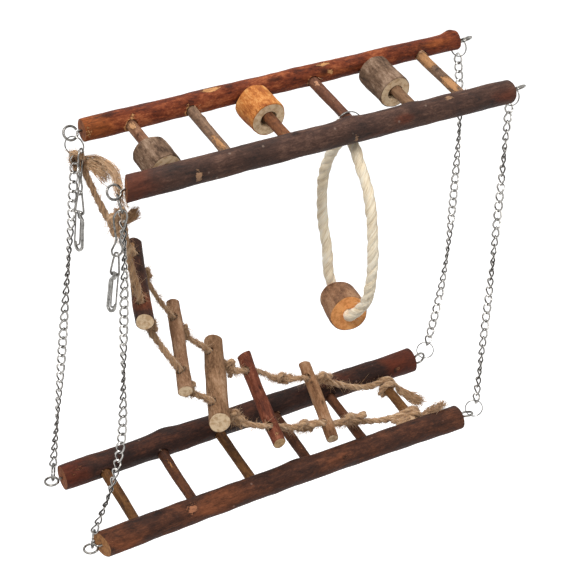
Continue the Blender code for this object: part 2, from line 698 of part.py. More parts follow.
def build_clip(side, steel):
    top, across, down, wire = clip_frame(side)
    height = CLIP_LINK_HEIGHT
    half = [(0.0, 0.0), (0.62 * CLIP_LINK_TOP, 0.03 * height), (CLIP_LINK_TOP, 0.13 * height),
            (0.93 * CLIP_LINK_TOP, 0.25 * height), (0.6 * CLIP_LINK_TOP, 0.45 * height),
            (CLIP_LINK_WAIST, 0.66 * height), (0.75 * CLIP_LINK_FOOT, 0.78 * height),
            (CLIP_LINK_FOOT, 0.87 * height), (0.7 * CLIP_LINK_FOOT, 0.965 * height), (0.0, height)]
    outline = half + [(-wide, deep) for wide, deep in half[-2:0:-1]]
    points = [top + across * wide + down * deep for wide, deep in outline]
    link = add_pivot(f"clip_{side}_link_pivot", wire)
    add_wire(f"clip_{side}_link", points, CLIP_WIRE, steel, link, closed=True)

    foot = top + down * height
    hang = add_pivot(f"clip_{side}_hook_pivot", foot)
    turned = Matrix.Rotation(HOOK_TURN[side], 3, -down) @ across
    face = turned.cross(down)
    bail_top = foot - down * (CLIP_WIRE + RING_PLAY)
    head = HOOK_WIDTH * HOOK_HEAD
    end = head / 2 + GAP
    bail = [(-end, BAIL_HEIGHT), (-BAIL_FOOT, BAIL_HEIGHT), (-BAIL_FOOT, 0.86 * BAIL_HEIGHT),
            (-BAIL_TOP, 0.12 * BAIL_HEIGHT), (-0.6 * BAIL_TOP, 0.0)]
    bail += [(-wide, deep) for wide, deep in bail[::-1]]
    points = [bail_top + turned * wide + down * deep for wide, deep in bail]
    add_wire(f"clip_{side}_bail", points, CLIP_WIRE, steel, hang)

    crown = bail_top + down * (BAIL_HEIGHT - HOOK_CROWN)
    edge = HOOK_WIDTH / 2
    inner = edge - HOOK_BAR
    deep = HOOK_HEIGHT - edge
    outline = [(-head / 2, 0.0), (head / 2, 0.0), (head / 2, HOOK_NECK), (-inner, HOOK_NECK + HOOK_BAR)]
    bottom = [math.radians(angle) for angle in (180, 216, 252, 288, 324, 360)]
    outline += [(math.cos(a) * inner, deep - math.sin(a) * inner) for a in bottom]
    outline += [(inner, deep - HOOK_TIP), (edge, deep - HOOK_TIP)]
    outline += [(math.cos(a) * edge, deep - math.sin(a) * edge) for a in bottom[::-1]]
    outline += [(-edge, HOOK_NECK + LOG_EDGE), (-head / 2, HOOK_NECK - LOG_EDGE)]
    near = [crown + turned * wide + down * low + face * (HOOK_PLATE / 2) for wide, low in outline]
    far = [point - face * HOOK_PLATE for point in near]
    add_mesh(f"clip_{side}_hook", lofted([near, far]), steel, hang, smooth=math.radians(30))

    beside = HOOK_PLATE / 2 + GAP + GATE_WIRE / 2
    bar = inner - GATE_WIRE / 2 - GAP
    hinge = (head / 2 - GATE_WIRE, HOOK_NECK * 0.6)
    reach = deep - HOOK_TIP + 2 * GATE_WIRE
    side_line = [hinge, (hinge[0] * 0.6 + bar * 0.4, (hinge[1] + reach) / 2), (bar, reach)]
    points = [crown + turned * wide + down * low + face * beside for wide, low in side_line]
    points += [crown + turned * wide + down * low - face * beside for wide, low in side_line[::-1]]
    pivot = crown + turned * hinge[0] + down * hinge[1]
    add_wire(f"clip_{side}_gate", points, GATE_WIRE, steel, add_pivot(f"clip_{side}_gate_pivot", pivot))


clear_scene()

cinnamon = finish("bark_cinnamon", (0.20, 0.055, 0.022), 0.6)
grey_bark = finish("bark_grey_brown", (0.075, 0.040, 0.028), 0.7)
dark_bark = finish("bark_dark", (0.035, 0.018, 0.013), 0.6)
red_bark = finish("bark_dark_red", (0.11, 0.035, 0.018), 0.6)
ochre = finish("rung_ochre", (0.18, 0.085, 0.03), 0.65)
brown = finish("rung_brown", (0.085, 0.035, 0.018), 0.65)
taupe = finish("log_grey_bark", (0.15, 0.105, 0.07), 0.75)
orange = finish("log_peeled", (0.55, 0.20, 0.045), 0.65)
driftwood = finish("step_grey_tan", (0.28, 0.18, 0.10), 0.75)
nickel = finish("nickel_wire", (0.75, 0.74, 0.71), 0.25, 1.0)
sisal = finish("sisal_fibre", (0.74, 0.60, 0.37), 0.9)
jute = finish("jute_fibre", (0.40, 0.24, 0.10), 0.95)

upper = add_pivot("upper_ladder", world("upper", 0, 0))
upper.rotation_euler = (CROSS_TILT, 0, 0)
lower_pivot = add_pivot("lower_pivot", eye_grip("lower", *MASTER))
lower = add_pivot("lower_ladder", world("lower", 0, 0), lower_pivot)
lower.rotation_euler = (CROSS_TILT, 0, 0)
FRAMES = {"upper": upper, "lower": lower}

build_rail("upper", "rear", cinnamon, upper)
build_rail("upper", "front", grey_bark, upper)
build_rail("lower", "rear", dark_bark, lower)
build_rail("lower", "front", red_bark, lower)
for level, frame in FRAMES.items():
    for number in range(RUNG_COUNT):
        build_rung(level, number, ochre if number % 2 == 0 else brown, frame)
    for side, end in CORNERS:
        build_eye(level, side, end, nickel, frame)
for side, end in CORNERS:
    build_split_ring("upper", side, end, nickel, None)
    hang = add_pivot(f"chain_{side}_{end}_pivot", ring_far_point("upper", side, end))
    build_chain(side, end, nickel, hang)
    build_split_ring("lower", side, end, nickel, hang)
build_roller("roller_left", taupe)
build_roller("roller_middle", orange)
build_roller("roller_right", taupe)
build_sisal(nickel, sisal, taupe)
for number in range(len(STEPS)):
    build_step(number, driftwood)
for side in SIDES:
    build_rope(side, jute)
    build_clip(side, nickel)
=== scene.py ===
"""Small pet hanging bridge, dressed.

Bark rails and rungs, sawn logs, twisted sisal and jute, curb chains, split rings, eye screws and
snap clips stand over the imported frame.  Metres, +Z up, +X along the rails, +Y to the rear.
"""
import math

import bpy
import numpy as np
from mathutils import Matrix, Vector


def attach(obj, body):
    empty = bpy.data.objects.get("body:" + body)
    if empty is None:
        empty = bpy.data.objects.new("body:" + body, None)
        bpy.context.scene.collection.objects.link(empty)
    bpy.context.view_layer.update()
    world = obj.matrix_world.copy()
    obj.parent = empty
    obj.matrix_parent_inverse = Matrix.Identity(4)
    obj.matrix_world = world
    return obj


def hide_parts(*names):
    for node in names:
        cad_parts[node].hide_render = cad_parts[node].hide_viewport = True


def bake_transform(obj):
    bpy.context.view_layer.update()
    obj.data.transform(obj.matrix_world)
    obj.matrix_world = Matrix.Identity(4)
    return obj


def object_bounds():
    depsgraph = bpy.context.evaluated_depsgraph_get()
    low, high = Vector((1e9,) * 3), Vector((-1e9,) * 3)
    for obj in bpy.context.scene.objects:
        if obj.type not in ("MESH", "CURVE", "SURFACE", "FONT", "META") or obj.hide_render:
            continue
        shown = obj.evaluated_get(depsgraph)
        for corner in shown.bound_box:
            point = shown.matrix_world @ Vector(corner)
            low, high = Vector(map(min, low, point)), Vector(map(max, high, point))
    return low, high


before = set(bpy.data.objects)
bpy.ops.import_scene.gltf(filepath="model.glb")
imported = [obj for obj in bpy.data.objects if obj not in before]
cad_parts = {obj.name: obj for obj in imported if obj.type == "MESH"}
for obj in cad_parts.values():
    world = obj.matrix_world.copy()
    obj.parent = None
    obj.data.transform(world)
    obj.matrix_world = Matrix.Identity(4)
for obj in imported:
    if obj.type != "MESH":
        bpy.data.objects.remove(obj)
cad_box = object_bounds()

MM = 0.001
TAU = 2 * math.pi

# Sizes that the dressed pieces share with the frame
CROSS_TILT = math.radians(16.5)
RAIL_LENGTH = 290 * MM
RAIL_SPACING = 66 * MM
RAIL_ENDS = {
    "upper_rear": (15.4 * MM, 13.0 * MM),
    "upper_front": (17.2 * MM, 16.6 * MM),
    "lower_rear": (18.0 * MM, 18.6 * MM),
    "lower_front": (18.8 * MM, 18.4 * MM),
}
RUNG_COUNT = 6
RUNG_PITCH = 45 * MM
RUNG_SHIFTS = {     # mm along the rail from the even pitch
    "upper": (-1.0, -2.6, -3.0, 0.0, 3.0, -2.0),
    "lower": (-3.4, -3.8, -3.0, -2.2, 0.0, 0.0),
}
RUNG_DIAMETER = 7.4 * MM
RUNG_PAST_CENTRE = 2.2 * MM
LOWER_DROP = 248 * MM
LOWER_SHIFT = -43.5 * MM
EYE_RADIUS = 4.6 * MM
EYE_WIRE = 1.7 * MM
EYE_STANDOFF = 8.0 * MM
EYE_SHANK = 10.0 * MM
EYE_MOUTH = math.radians(26)
SPLIT_RADIUS = 6.4 * MM
SPLIT_WIRE = 1.2 * MM
RING_PLAY = 0.8 * MM
GAP = 0.3 * MM
CORNER_FITS = {     # degrees: eye's turn, grip round the eye to +X, ring's lean to +X, ring's turn
    "upper_rear_left": (-45, 10, 0, 45),
    "upper_front_left": (-40, 20, 12, -20),
    "upper_rear_right": (40, -45, -8, 22),
    "upper_front_right": (40, -45, -14, 22),
    "lower_rear_left": (80, 38, 5, -30),
    "lower_front_left": (80, 42, 10, -32),
    "lower_rear_right": (20, 50, 18, 56),
    "lower_front_right": (60, 58, 18, 58),
}
CHAIN_WIRE = 1.1 * MM
CHAIN_WIDTH = 5.4 * MM
CHAIN_PITCH = 6.6 * MM
CHAIN_BOW = {
    "rear_left": (0.4 * MM, 0.5 * MM, 0.4 * MM),
    "front_left": (6.5 * MM, 11.0 * MM, 13.5 * MM),
    "rear_right": (8.5 * MM, 10.0 * MM, 9.0 * MM),
    "front_right": (0.5 * MM, 1.0 * MM, 0.6 * MM),
}
CHAIN_HALF_TURNS = {"rear_left": 2, "front_left": 3, "rear_right": 2, "front_right": -3}
ROLLERS = {         # rung, middle along it, diameter, bore, length
    "roller_left": (0, -12.6 * MM, 24 * MM, 11.5 * MM, 22.6 * MM),
    "roller_middle": (2, 13.2 * MM, 25 * MM, 12.5 * MM, 23.4 * MM),
    "roller_right": (4, 10.8 * MM, 24 * MM, 11.5 * MM, 28.8 * MM),
}
LOOP_RUNG = 3
LOOP_PLACE = -20 * MM
LOOP_RING_RADIUS = 11.0 * MM
LOOP_RING_WIRE = 1.3 * MM
SISAL_DIAMETER = 7.0 * MM
BEAD_DIAMETER = 26 * MM
BEAD_LENGTH = 26 * MM
BEAD_DIP = math.radians(3)
BEAD_TURN = math.radians(13)
BEAD_FROM_HANG = (15.8 * MM, -145.6 * MM)
BEAD_CLEAR = 3 * MM
ROPE_PLAY = 0.6 * MM
LOOP_FRONT = ((-7, -18), (-13.5, -29), (-21, -41), (-25.5, -57), (-26.8, -78), (-25.6, -98),
              (-21.5, -116), (-14, -132))
LOOP_REAR = ((34, -128), (35, -108), (38.8, -92), (39.5, -75), (37, -57), (30.5, -42), (20.5, -28),
             (9.5, -17.5))
STEPS = (           # middle above the lower ladder, yaw, dip, length, diameter, hole spacing, run to knot
    ((-128.0, 3.0, 156.4), 21.0, 20.0, 73.0, 11.0, 45.0, 1.0),
    ((-104.5, 2.0, 101.0), 21.0, 26.0, 75.0, 9.0, 45.0, 0.8),
    ((-78.8, 1.5, 65.7), 25.0, 23.0, 72.0, 13.5, 45.0, 0.8),
    ((-45.3, 0.5, 40.5), 5.0, 37.0, 72.0, 9.2, 45.0, 13.0),
    ((0.4, -0.5, 23.5), 10.0, 32.0, 64.0, 9.0, 38.0, 6.0),
)
JUTE_DIAMETER = 5.0 * MM
KNOT_LENGTH = 7.5 * MM
TIE_PLACE = 16 * MM
TIE_TURNS = 1.25
ROPE_DIP = 0.2
ROPE_INLET = 3 * MM
ROPE_STARTS = {"rear": (9.0 * MM, 7.0 * MM, -9.0 * MM), "front": (4.0 * MM, 9.0 * MM, -6.0 * MM)}
CLIP_WIRE = 1.3 * MM
CLIP_LINK_HEIGHT = 30 * MM
CLIP_LINK_TOP = 4.0 * MM
CLIP_LINK_WAIST = 1.2 * MM
CLIP_LINK_FOOT = 3.3 * MM
CLIP_ALONG_RING = {"rear": math.radians(-44), "front": math.radians(-40)}
CLIP_OFF_RING = {"rear": 0.0, "front": -0.9 * MM}
CLIP_LEAN = {"rear": (math.radians(11), math.radians(7)), "front": (math.radians(12), 0.0)}
BAIL_HEIGHT = 14 * MM
BAIL_TOP = 2.3 * MM
BAIL_FOOT = 4.6 * MM
HOOK_TURN = {"rear": math.radians(55), "front": math.radians(-60)}
HOOK_HEIGHT = 28 * MM
HOOK_WIDTH = 10 * MM
HOOK_HEAD = 0.5
HOOK_CROWN = 2.2 * MM
HOOK_NECK = 5 * MM
HOOK_PLATE = 2.2 * MM
HOOK_BAR = 2.2 * MM
HOOK_TIP = 1.5 * MM
GATE_WIRE = 1.1 * MM
HOOK_EDGE = HOOK_WIDTH / 2
HOOK_INNER = HOOK_EDGE - HOOK_BAR
HOOK_DEEP = HOOK_HEIGHT - HOOK_EDGE

# Sizes of the dressing alone
GROWTH_RING = 1.1 * MM
PEEL_DEPTH = 0.3 * MM
SAW_RIDGE = 0.12 * MM
SLANT_REACH = 9 * MM            # how far along a log its slanted cut is felt
SPLINTERS = 14                  # at a hole that is wholly torn
WAVES = ((2, 70 * MM), (3, 38 * MM), (5, 21 * MM))     # lobes round a log, span along it
CHAIN_WIDER = 0.45 * MM         # to each side of a link
CHAIN_BULK = 1.25               # dressed size over the frame's
SISAL_BULK = 1.12
BEAD_BULK = 1.03
BEAD_FLARE = 0.045
BEAD_PEELS = ((9, 240, 1.4, 1.6, 0.95), (-9, 250, 5, 3, 0.5))
COIL_WIRE = 0.56                # one turn of a split ring over the ring's thickness
COIL_START = 1.2                # radians round from the pull to the wire's first end
LOOP_COIL_START = 2.6
SISAL_END = 4.5 * MM            # from the bead's middle to each end of the rope
SISAL_FIBRES = 1500
SISAL_FIBRE_REACH = 3.6 * MM
SISAL_FIBRE = 0.2 * MM
SISAL_LAY = 27 * MM             # length of one turn of the plies
JUTE_LAY = 19 * MM
KNOT_LAY = 17 * MM
TIE_ROPE = 4.8 * MM
TIE_START = math.radians(115)   # where a rope meets the last rung, from its right over the top
KNOT_DROOP = 0.3                # slack stretches leave a knot this much steeper than their run
BIGHT_ROPE = 3.8 * MM
RUNG_HOLE_PLAY = 0.7 * MM
RUNG_HOLE_DEPTH = 1.6 * MM
RUNG_HOLE_LIP = 0.7 * MM
STEP_HOLE_PLAY = 1.3 * MM
STEP_HOLE_DEPTH = 2.8 * MM

SIDES = {"rear": 1.0, "front": -1.0}
ENDS = {"left": -1.0, "right": 1.0}
CORNERS = [(side, end) for side in SIDES for end in ENDS]
X_AXIS = np.array((1.0, 0.0, 0.0))
Y_AXIS = np.array((0.0, 1.0, 0.0))
UP = np.array((0.0, 0.0, 1.0))


# Vectors and routes

def unit(vector):
    """A vector, or each row of an array, over its length."""
    vector = np.asarray(vector, float)
    return vector / np.linalg.norm(vector, axis=-1, keepdims=True)


def square_to(vector, axis):
    """The part of a vector square to a unit axis, made a unit vector."""
    return unit(np.asarray(vector, float) - axis * np.dot(vector, axis))


def turned(vector, axis, angle):
    """A vector turned about a unit axis: along it kept, across it swept by the angle."""
    vector = np.asarray(vector, float)
    axis = unit(axis)
    kept = axis * np.dot(vector, axis)
    return kept + (vector - kept) * math.cos(angle) + np.cross(axis, vector) * math.sin(angle)


RUNG_WAY = turned(Y_AXIS, X_AXIS, CROSS_TILT)
LADDER_UP = turned(UP, X_AXIS, CROSS_TILT)
LEVELS = {"upper": np.zeros(3), "lower": np.array((LOWER_SHIFT, 0, -LOWER_DROP))}


def on_ladder(level, x, y, z=0.0):
    """A ladder's own point in the object's frame."""
    return LEVELS[level] + X_AXIS * x + RUNG_WAY * y + LADDER_UP * z


def squared_off(value, power):
    """The size of a value raised to a power, with its sign kept."""
    return np.sign(value) * np.abs(value) ** power


def laid(origin, outline, across, down):
    """Points of a flat outline: from an origin, so far across and so far down."""
    outline = np.asarray(outline, float)
    return origin + outline[:, :1] * across + outline[:, 1:] * down


def smooth(points, count, closed=False):
    """Even steps on a curve through points: each span is a cubic whose end slopes are half the
    chord between the neighbours on either side."""
    points = np.asarray(points, float)
    if closed:
        knots = np.vstack([points[-1:], points, points[:2]])
    else:
        knots = np.vstack([2 * points[:1] - points[1:2], points, 2 * points[-1:] - points[-2:-1]])
    spans = len(knots) - 3
    place = np.linspace(0, spans, spans * 24 + 1)
    first = np.minimum(place.astype(int), spans - 1)
    t = (place - first)[:, None]
    a, b, c, d = (knots[first + k] for k in range(4))
    fine = 0.5 * (2 * b + (c - a) * t + (2 * a - 5 * b + 4 * c - d) * t**2 + (3 * b - 3 * c + d - a) * t**3)
    return evenly(fine, count, closed)


def gone_along(path):
    """Distance from the first point to each point of a route."""
    return np.r_[0, np.cumsum(np.linalg.norm(np.diff(path, axis=0), axis=1))]


def evenly(path, count, closed=False):
    """The same route at even steps of its length."""
    gone = gone_along(path)
    want = np.linspace(0, gone[-1], count, endpoint=not closed)
    return np.stack([np.interp(want, gone, path[:, k]) for k in range(3)], axis=1)


def length_of(path):
    """The sum of a route's steps."""
    return float(gone_along(path)[-1])


def bend(start, leaving, end, arriving, count):
    """Cubic from start to end that leaves and arrives along two directions, ends included."""
    reach = np.linalg.norm(end - start)
    t = np.linspace(0, 1, count)[:, None]
    return (start * (2 * t**3 - 3 * t**2 + 1) + leaving * reach * (t**3 - 2 * t**2 + t)
            + end * (3 * t**2 - 2 * t**3) + arriving * reach * (t**3 - t**2))


def axes_along(path, lean, closed=False):
    """Unit tangent at every station, the direction square to it nearest to lean, and the third."""
    if closed:
        run = np.roll(path, -1, axis=0) - np.roll(path, 1, axis=0)
    else:
        run = np.gradient(path, axis=0)
    tangent = unit(run)
    lean = np.broadcast_to(np.asarray(lean, float), path.shape)
    across = unit(lean - tangent * np.sum(lean * tangent, axis=1, keepdims=True))
    return tangent, across, np.cross(tangent, across)


# Meshes

SURFACE_VALUES = ("grain", "marks", "blush")


def quads(rows, columns, ring_rows):
    """Corner numbers of a grid's faces: its columns close on themselves, and its rows may."""
    row = np.arange(rows if ring_rows else rows - 1)[:, None]
    column = np.arange(columns)[None, :]
    next_row = (row + 1) % rows
    next_column = (column + 1) % columns
    corners = [row * columns + column, row * columns + next_column,
               next_row * columns + next_column, next_row * columns + column]
    return np.stack(corners, axis=-1).reshape(-1, 4)


def shell(points, ring_rows=False, slots=None, **values):
    """One grid surface of a piece: its points, whether its rows close, the finish of each row of faces,
    and the surface values that finishes read."""
    blank = np.zeros_like(points)
    slots = np.zeros(1, np.int32) if slots is None else slots
    surface = {label: values.get(label, blank) for label in SURFACE_VALUES}
    return {"points": points, "ring_rows": ring_rows, "slots": slots, **surface}


def add_piece(name, shells, finishes, body, replaced=()):
    """Joins grid surfaces into one mesh, with end faces where a tube stops, and sets it on its body."""
    corners, starts, slots = [], [], []
    base, loops = 0, 0
    for part in shells:
        rows, columns = part["points"].shape[:2]
        faces = quads(rows, columns, part["ring_rows"]) + base
        corners.append(faces.ravel())
        starts.append(loops + 4 * np.arange(len(faces)))
        slots.append(np.repeat(part["slots"], len(faces) // len(part["slots"])))
        loops += 4 * len(faces)
        if not part["ring_rows"]:
            near = base + np.arange(columns)
            far = near + (rows - 1) * columns
            for face, slot in ((near[::-1], part["slots"][0]), (far, part["slots"][-1])):
                corners.append(face)
                starts.append([loops])
                slots.append([slot])
                loops += columns
        base += rows * columns
    corners, starts, slots = (np.concatenate(values).astype(np.int32) for values in (corners, starts, slots))
    mesh = bpy.data.meshes.new(name)
    mesh.vertices.add(base)
    mesh.vertices.foreach_set("co", np.concatenate([part["points"].ravel() for part in shells]))
    mesh.loops.add(len(corners))
    mesh.loops.foreach_set("vertex_index", corners)
    mesh.polygons.add(len(starts))
    mesh.polygons.foreach_set("loop_start", starts)
    mesh.polygons.foreach_set("material_index", slots)
    mesh.update(calc_edges=True)
    for label in SURFACE_VALUES:
        values = mesh.attributes.new(label, "FLOAT_VECTOR", "POINT")
        values.data.foreach_set("vector", np.concatenate([part[label].ravel() for part in shells]))
    mesh.shade_smooth()
    mesh.set_sharp_from_angle(angle=math.radians(50))
    piece = bpy.data.objects.new(name, mesh)
    bpy.context.scene.collection.objects.link(piece)
    for finish in finishes:
        mesh.materials.append(FINISHES[finish])
    if body:
        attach(piece, body)
    if replaced:
        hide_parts(*replaced)
    return piece


def swept(path, lean, radius, sides, closed=False, shift=0.0):
    """A round profile carried along a path: centre plus radius times (cosine across, sine third)."""
    _, across, third = axes_along(path, lean, closed)
    angle = np.linspace(0, TAU, sides, endpoint=False)
    radius = np.broadcast_to(radius, len(path))[:, None, None]
    ring = np.cos(angle)[:, None] * across[:, None] + np.sin(angle)[:, None] * third[:, None]
    points = path[:, None] + radius * ring
    grain = np.empty_like(points)
    grain[..., 0] = gone_along(path)[:, None] + shift
    grain[..., 1] = radius[..., 0] * np.cos(angle)
    grain[..., 2] = radius[..., 0] * np.sin(angle)
    return shell(points, ring_rows=closed, grain=grain)


def wire(path, lean, diameter, sides=10, closed=False):
    """A round profile of one size carried along a path."""
    return swept(path, lean, diameter / 2, sides, closed)


# Logs

def waves(seed, along, angle, size):
    """Slow unevenness: three cosines that wind round and along the log, each half the last."""
    chance = np.random.default_rng(seed)
    total = 0.0
    for order, (lobes, span) in enumerate(WAVES):
        phase = chance.uniform(0, TAU, 2)
        swell = np.cos(lobes * angle + phase[0] + 0.6 * np.sin(TAU * along / span + phase[1]))
        total = total + size / 2**order * swell * np.cos(TAU * along / span + phase[1])
    return total


def rumple(seed, along, angle, size):
    """Fine bark relief: many small cosines in random directions over the unrolled surface."""
    chance = np.random.default_rng(seed)
    count = 40
    total = 0.0
    for _ in range(count):
        turn = chance.integers(3, 16)
        span = chance.uniform(5 * MM, 26 * MM)
        climb = TAU * along / span * chance.choice((-1, 1))
        total = total + np.cos(turn * angle + climb + chance.uniform(0, TAU))
    return size * total / math.sqrt(count)


def bells(along, angle, radius, spots):
    """Round patches on the bark, each with its strength: a bell over distance along and distance round,
    each over the patch's half size."""
    for place, degrees, long, wide, strength in spots:
        round_by = (angle - math.radians(degrees) + math.pi) % TAU - math.pi
        bell = np.exp(-((along - place * MM) / (long * MM))**2 - (round_by * radius / (wide * MM))**2)
        yield bell, strength


def drill(points, marks, way, holes, seed):
    """Bark at drilled holes: inside a hole's radius it sinks along the hole's way, just outside it stands
    up in a ragged lip, and a pale torn ring fades away from the rim."""
    chance = np.random.default_rng(seed + 2)
    for centre, outward, bore, depth, torn, pale in holes:
        outward = unit(outward)
        from_hole = points - centre
        rise = from_hole @ outward
        off = np.linalg.norm(from_hole - rise[..., None] * outward, axis=-1)
        clock = np.arctan2(from_hole @ np.cross(outward, way), from_hole @ way)
        ragged = sum(np.cos(k * clock + chance.uniform(0, TAU)) / k for k in (2, 3, 5, 8))
        facing = rise > 0
        lip = np.exp(-((off - bore / 2 - 0.5 * MM) / (0.8 * MM))**2) * (0.5 + 0.5 * ragged) * facing
        sunk = np.clip((bore / 2 + 0.15 * MM - off) / (0.35 * MM), 0, 1) * facing
        points = points + outward * (torn * np.clip(lip, 0, 1.4) - depth * sunk)[..., None]
        spread = np.maximum(0.3, 0.6 + 1.5 * pale + 0.8 * ragged) * MM
        ring = np.clip(1.3 - (off - bore / 2) / spread, 0, 1) * facing
        marks[..., 2] = np.maximum(marks[..., 2], ring * pale * (0.6 + 0.4 * np.cos(clock + seed)))
        # painted shade: the bark that sinks into a hole is marked dark
        marks[..., 1] = np.maximum(marks[..., 1], sunk)
    return points


def log_grain(along, angle, radius, seed):
    """Place in a log's own wood: along it, shifted by its seed so that no two logs match, and across."""
    shifted = along + 0.37 * seed + 0 * angle
    return np.stack([shifted, radius * np.cos(angle), radius * np.sin(angle)], axis=-1)


def bark_log(start, end, diameters, lean, seed, rows, sides, lump, relief, edge, knots=(), peels=(),
             blushes=(), holes=(), crook=(0.0, 0.0), slants=((0.0, 0.0), (0.0, 0.0)), waist=0.0, lift=0.0):
    """A sawn branch.  Radius = taper less a waist + slow waves + relief + a bell at each knot, rolled in
    at the cut edges; the line bows by half a sine and lifts by a square towards its far end; each cut
    leans by its slant, longest at the given degrees; at a hole the bark sinks along the hole's way."""
    length = float(np.linalg.norm(end - start))
    way = (end - start) / length
    across = square_to(lean, way)
    third = np.cross(way, across)
    girth = diameters[0] / 2
    angle = np.linspace(0, TAU, sides, endpoint=False)[None, :]
    face = np.array((0.02, 0.2, 0.4, 0.6, 0.78, 0.9))
    roll = np.linspace(0, 1, 5)[:-1]
    run = np.linspace(0, 1, rows)
    place = np.concatenate([np.zeros(len(face)), roll * edge, edge + run * (length - 2 * edge),
                            length - roll[::-1] * edge, np.full(len(face), length)])[:, None]
    share = np.concatenate([face, np.ones(rows + 2 * len(roll)), face[::-1]])[:, None]
    along = place - length / 2
    bow = np.cos(math.pi * along / length)
    from_end = np.minimum(place, length - place)
    rolled = edge * (1 - np.sqrt(np.clip(1 - np.clip(1 - from_end / edge, 0, 1)**2, 0, 1)))
    radius = (diameters[0] + (diameters[1] - diameters[0]) * place / length) / 2 - waist * bow
    radius = radius + waves(seed, along, angle, lump) + rumple(seed + 1, along, angle, relief) - 0.8 * rolled
    marks = np.zeros((len(place), sides, 3))
    for bell, height in bells(along, angle, girth, knots):
        radius = radius + height * MM * bell
        marks[..., 1] = np.maximum(marks[..., 1], 0.75 * bell)
    blush = np.zeros_like(marks)
    for bell, strength in bells(along, angle, girth, blushes):
        blush[..., 0] = np.maximum(blush[..., 0], strength * bell)
    for bell, strength in bells(along, angle, girth, peels):
        marks[..., 0] = np.maximum(marks[..., 0], strength * np.sqrt(bell))
        radius = radius - PEEL_DEPTH * strength * np.clip(3 * bell - 0.6, 0, 1)
    full = radius * share
    first = along < 0
    amount = np.where(first, -slants[0][0], slants[1][0]) * np.clip(1 - from_end / SLANT_REACH, 0, 1)
    longest = np.radians(np.where(first, slants[0][1], slants[1][1]))
    saw = SAW_RIDGE * (1 - share**4) * np.cos(9 * share + 2 * angle + seed) * np.where(first, -1, 1)
    shifted = along + amount * full * np.cos(angle - longest) + saw * (share < 1)
    off_line = full * np.cos(angle) + crook[0] * bow
    over_line = full * np.sin(angle) + crook[1] * bow + lift * (place / length)**2
    points = ((start + end) / 2 + way * shifted[..., None] + across * off_line[..., None]
              + third * over_line[..., None])
    points = drill(points, marks, way, holes, seed)
    slots = np.zeros(len(place) - 1, np.int32)
    slots[:len(face)] = 1
    slots[-len(face):] = 1
    grain = log_grain(along, angle, full, seed)
    return shell(points, grain=grain, marks=marks, blush=blush, slots=slots)


def bored_log(centre, axis, lean, diameter, bore, length, seed, lump, peels=(), singed=0.0, flare=0.0):
    """A short log with a bore: rows run out over one sawn end, along the bark, in over the other end
    and back through the bore, so that the grid closes on itself both ways; the bark flares towards the
    far end by its share."""
    rows, bore_rows, sides = 60, 12, 96
    edge = 0.8 * MM
    axis = unit(axis)
    across = square_to(lean, axis)
    third = np.cross(axis, across)
    angle = np.linspace(0, TAU, sides, endpoint=False)[None, :]
    half = length / 2
    outer, inner = diameter / 2, bore / 2
    wall = outer - edge
    face = np.linspace(0, 1, 9)[1:-1]
    roll = np.linspace(0, math.pi / 2, 5)
    run = np.linspace(edge - half, half - edge, rows)[1:-1]
    along = np.concatenate([-half + 0 * face, -half + edge * (1 - np.cos(roll)), run,
                            half - edge * (1 - np.cos(roll[::-1])), half + 0 * face,
                            np.linspace(half, -half, bore_rows)])[:, None]
    radius = np.concatenate([inner + (wall - inner) * face, wall + edge * np.sin(roll),
                             np.full(len(run), outer), wall + edge * np.sin(roll[::-1]),
                             inner + (wall - inner) * face[::-1], np.full(bore_rows, inner)])[:, None]
    out = np.clip((radius - inner) / (outer - inner), 0, 1)
    skin = out > 0.9
    uneven = waves(seed, along, angle, lump) + rumple(seed + 1, along, angle, 0.08 * MM)
    marks = np.zeros((len(along), sides, 3))
    for bell, strength in bells(along, angle, outer, peels):
        marks[..., 0] = np.maximum(marks[..., 0], strength * np.sqrt(bell) * skin)
    rim = singed * np.exp(-(half - np.abs(along)) / (1.6 * MM)) * skin
    marks[..., 1] = np.maximum(marks[..., 1], rim)
    full = radius + out * (uneven + flare * outer * along / half)
    in_bore = radius <= inner + 1e-9
    # painted shade: a bore's wall is marked darker towards its middle
    marks[..., 1] = np.where(in_bore, 0.5 * (1 - np.abs(along) / half), marks[..., 1])
    points = (centre + axis * (along + 0 * angle)[..., None]
              + across * (full * np.cos(angle))[..., None] + third * (full * np.sin(angle))[..., None])
    slots = np.zeros(len(along), np.int32)
    slots[:len(face)] = 1
    slots[len(face) + 2 * len(roll) + len(run) - 1:] = 1
    grain = log_grain(along, angle, full, seed)
    return shell(points, ring_rows=True, grain=grain, marks=marks, slots=slots)


# Twisted rope

def strands(path, lean, diameter, lay, seed, sides, fullness=0.53, uneven=0.08):
    """Three plies laid round a route: each ply's centre circles the route once a lay, and the rope
    swells and thins along it by two slow cosines."""
    chance = np.random.default_rng(seed)
    _, across, third = axes_along(path, lean)
    gone = gone_along(path)
    phase = chance.uniform(0, TAU, 3)
    size = 1 + uneven * (np.cos(gone / (5.5 * MM) + phase[0]) + np.cos(gone / (2.3 * MM) + phase[1]))
    wound = []
    for ply in range(3):
        turn = TAU * (gone / lay + ply / 3) + phase[2] + 0.25 * np.cos(gone / (6 * MM) + phase[ply])
        ply_radius = diameter / 2 * fullness * size * (1 + 0.05 * np.cos(gone / (3 * MM) + phase[ply]))
        outward = np.cos(turn)[:, None] * across + np.sin(turn)[:, None] * third
        centre = path + (diameter / 2 * size - ply_radius)[:, None] * outward
        wound.append(swept(centre, outward, ply_radius, sides, shift=0.61 * (seed + ply)))
    return wound


def fibre_shells(points, gone):
    """One shell for each loose fibre: its surface values are the distance along it and its number."""
    grain = np.zeros_like(points)
    grain[..., 0] = gone
    grain[..., 1] = 0.01 * np.arange(len(points))[:, None, None]
    return [shell(one, grain=value) for one, value in zip(points, grain)]


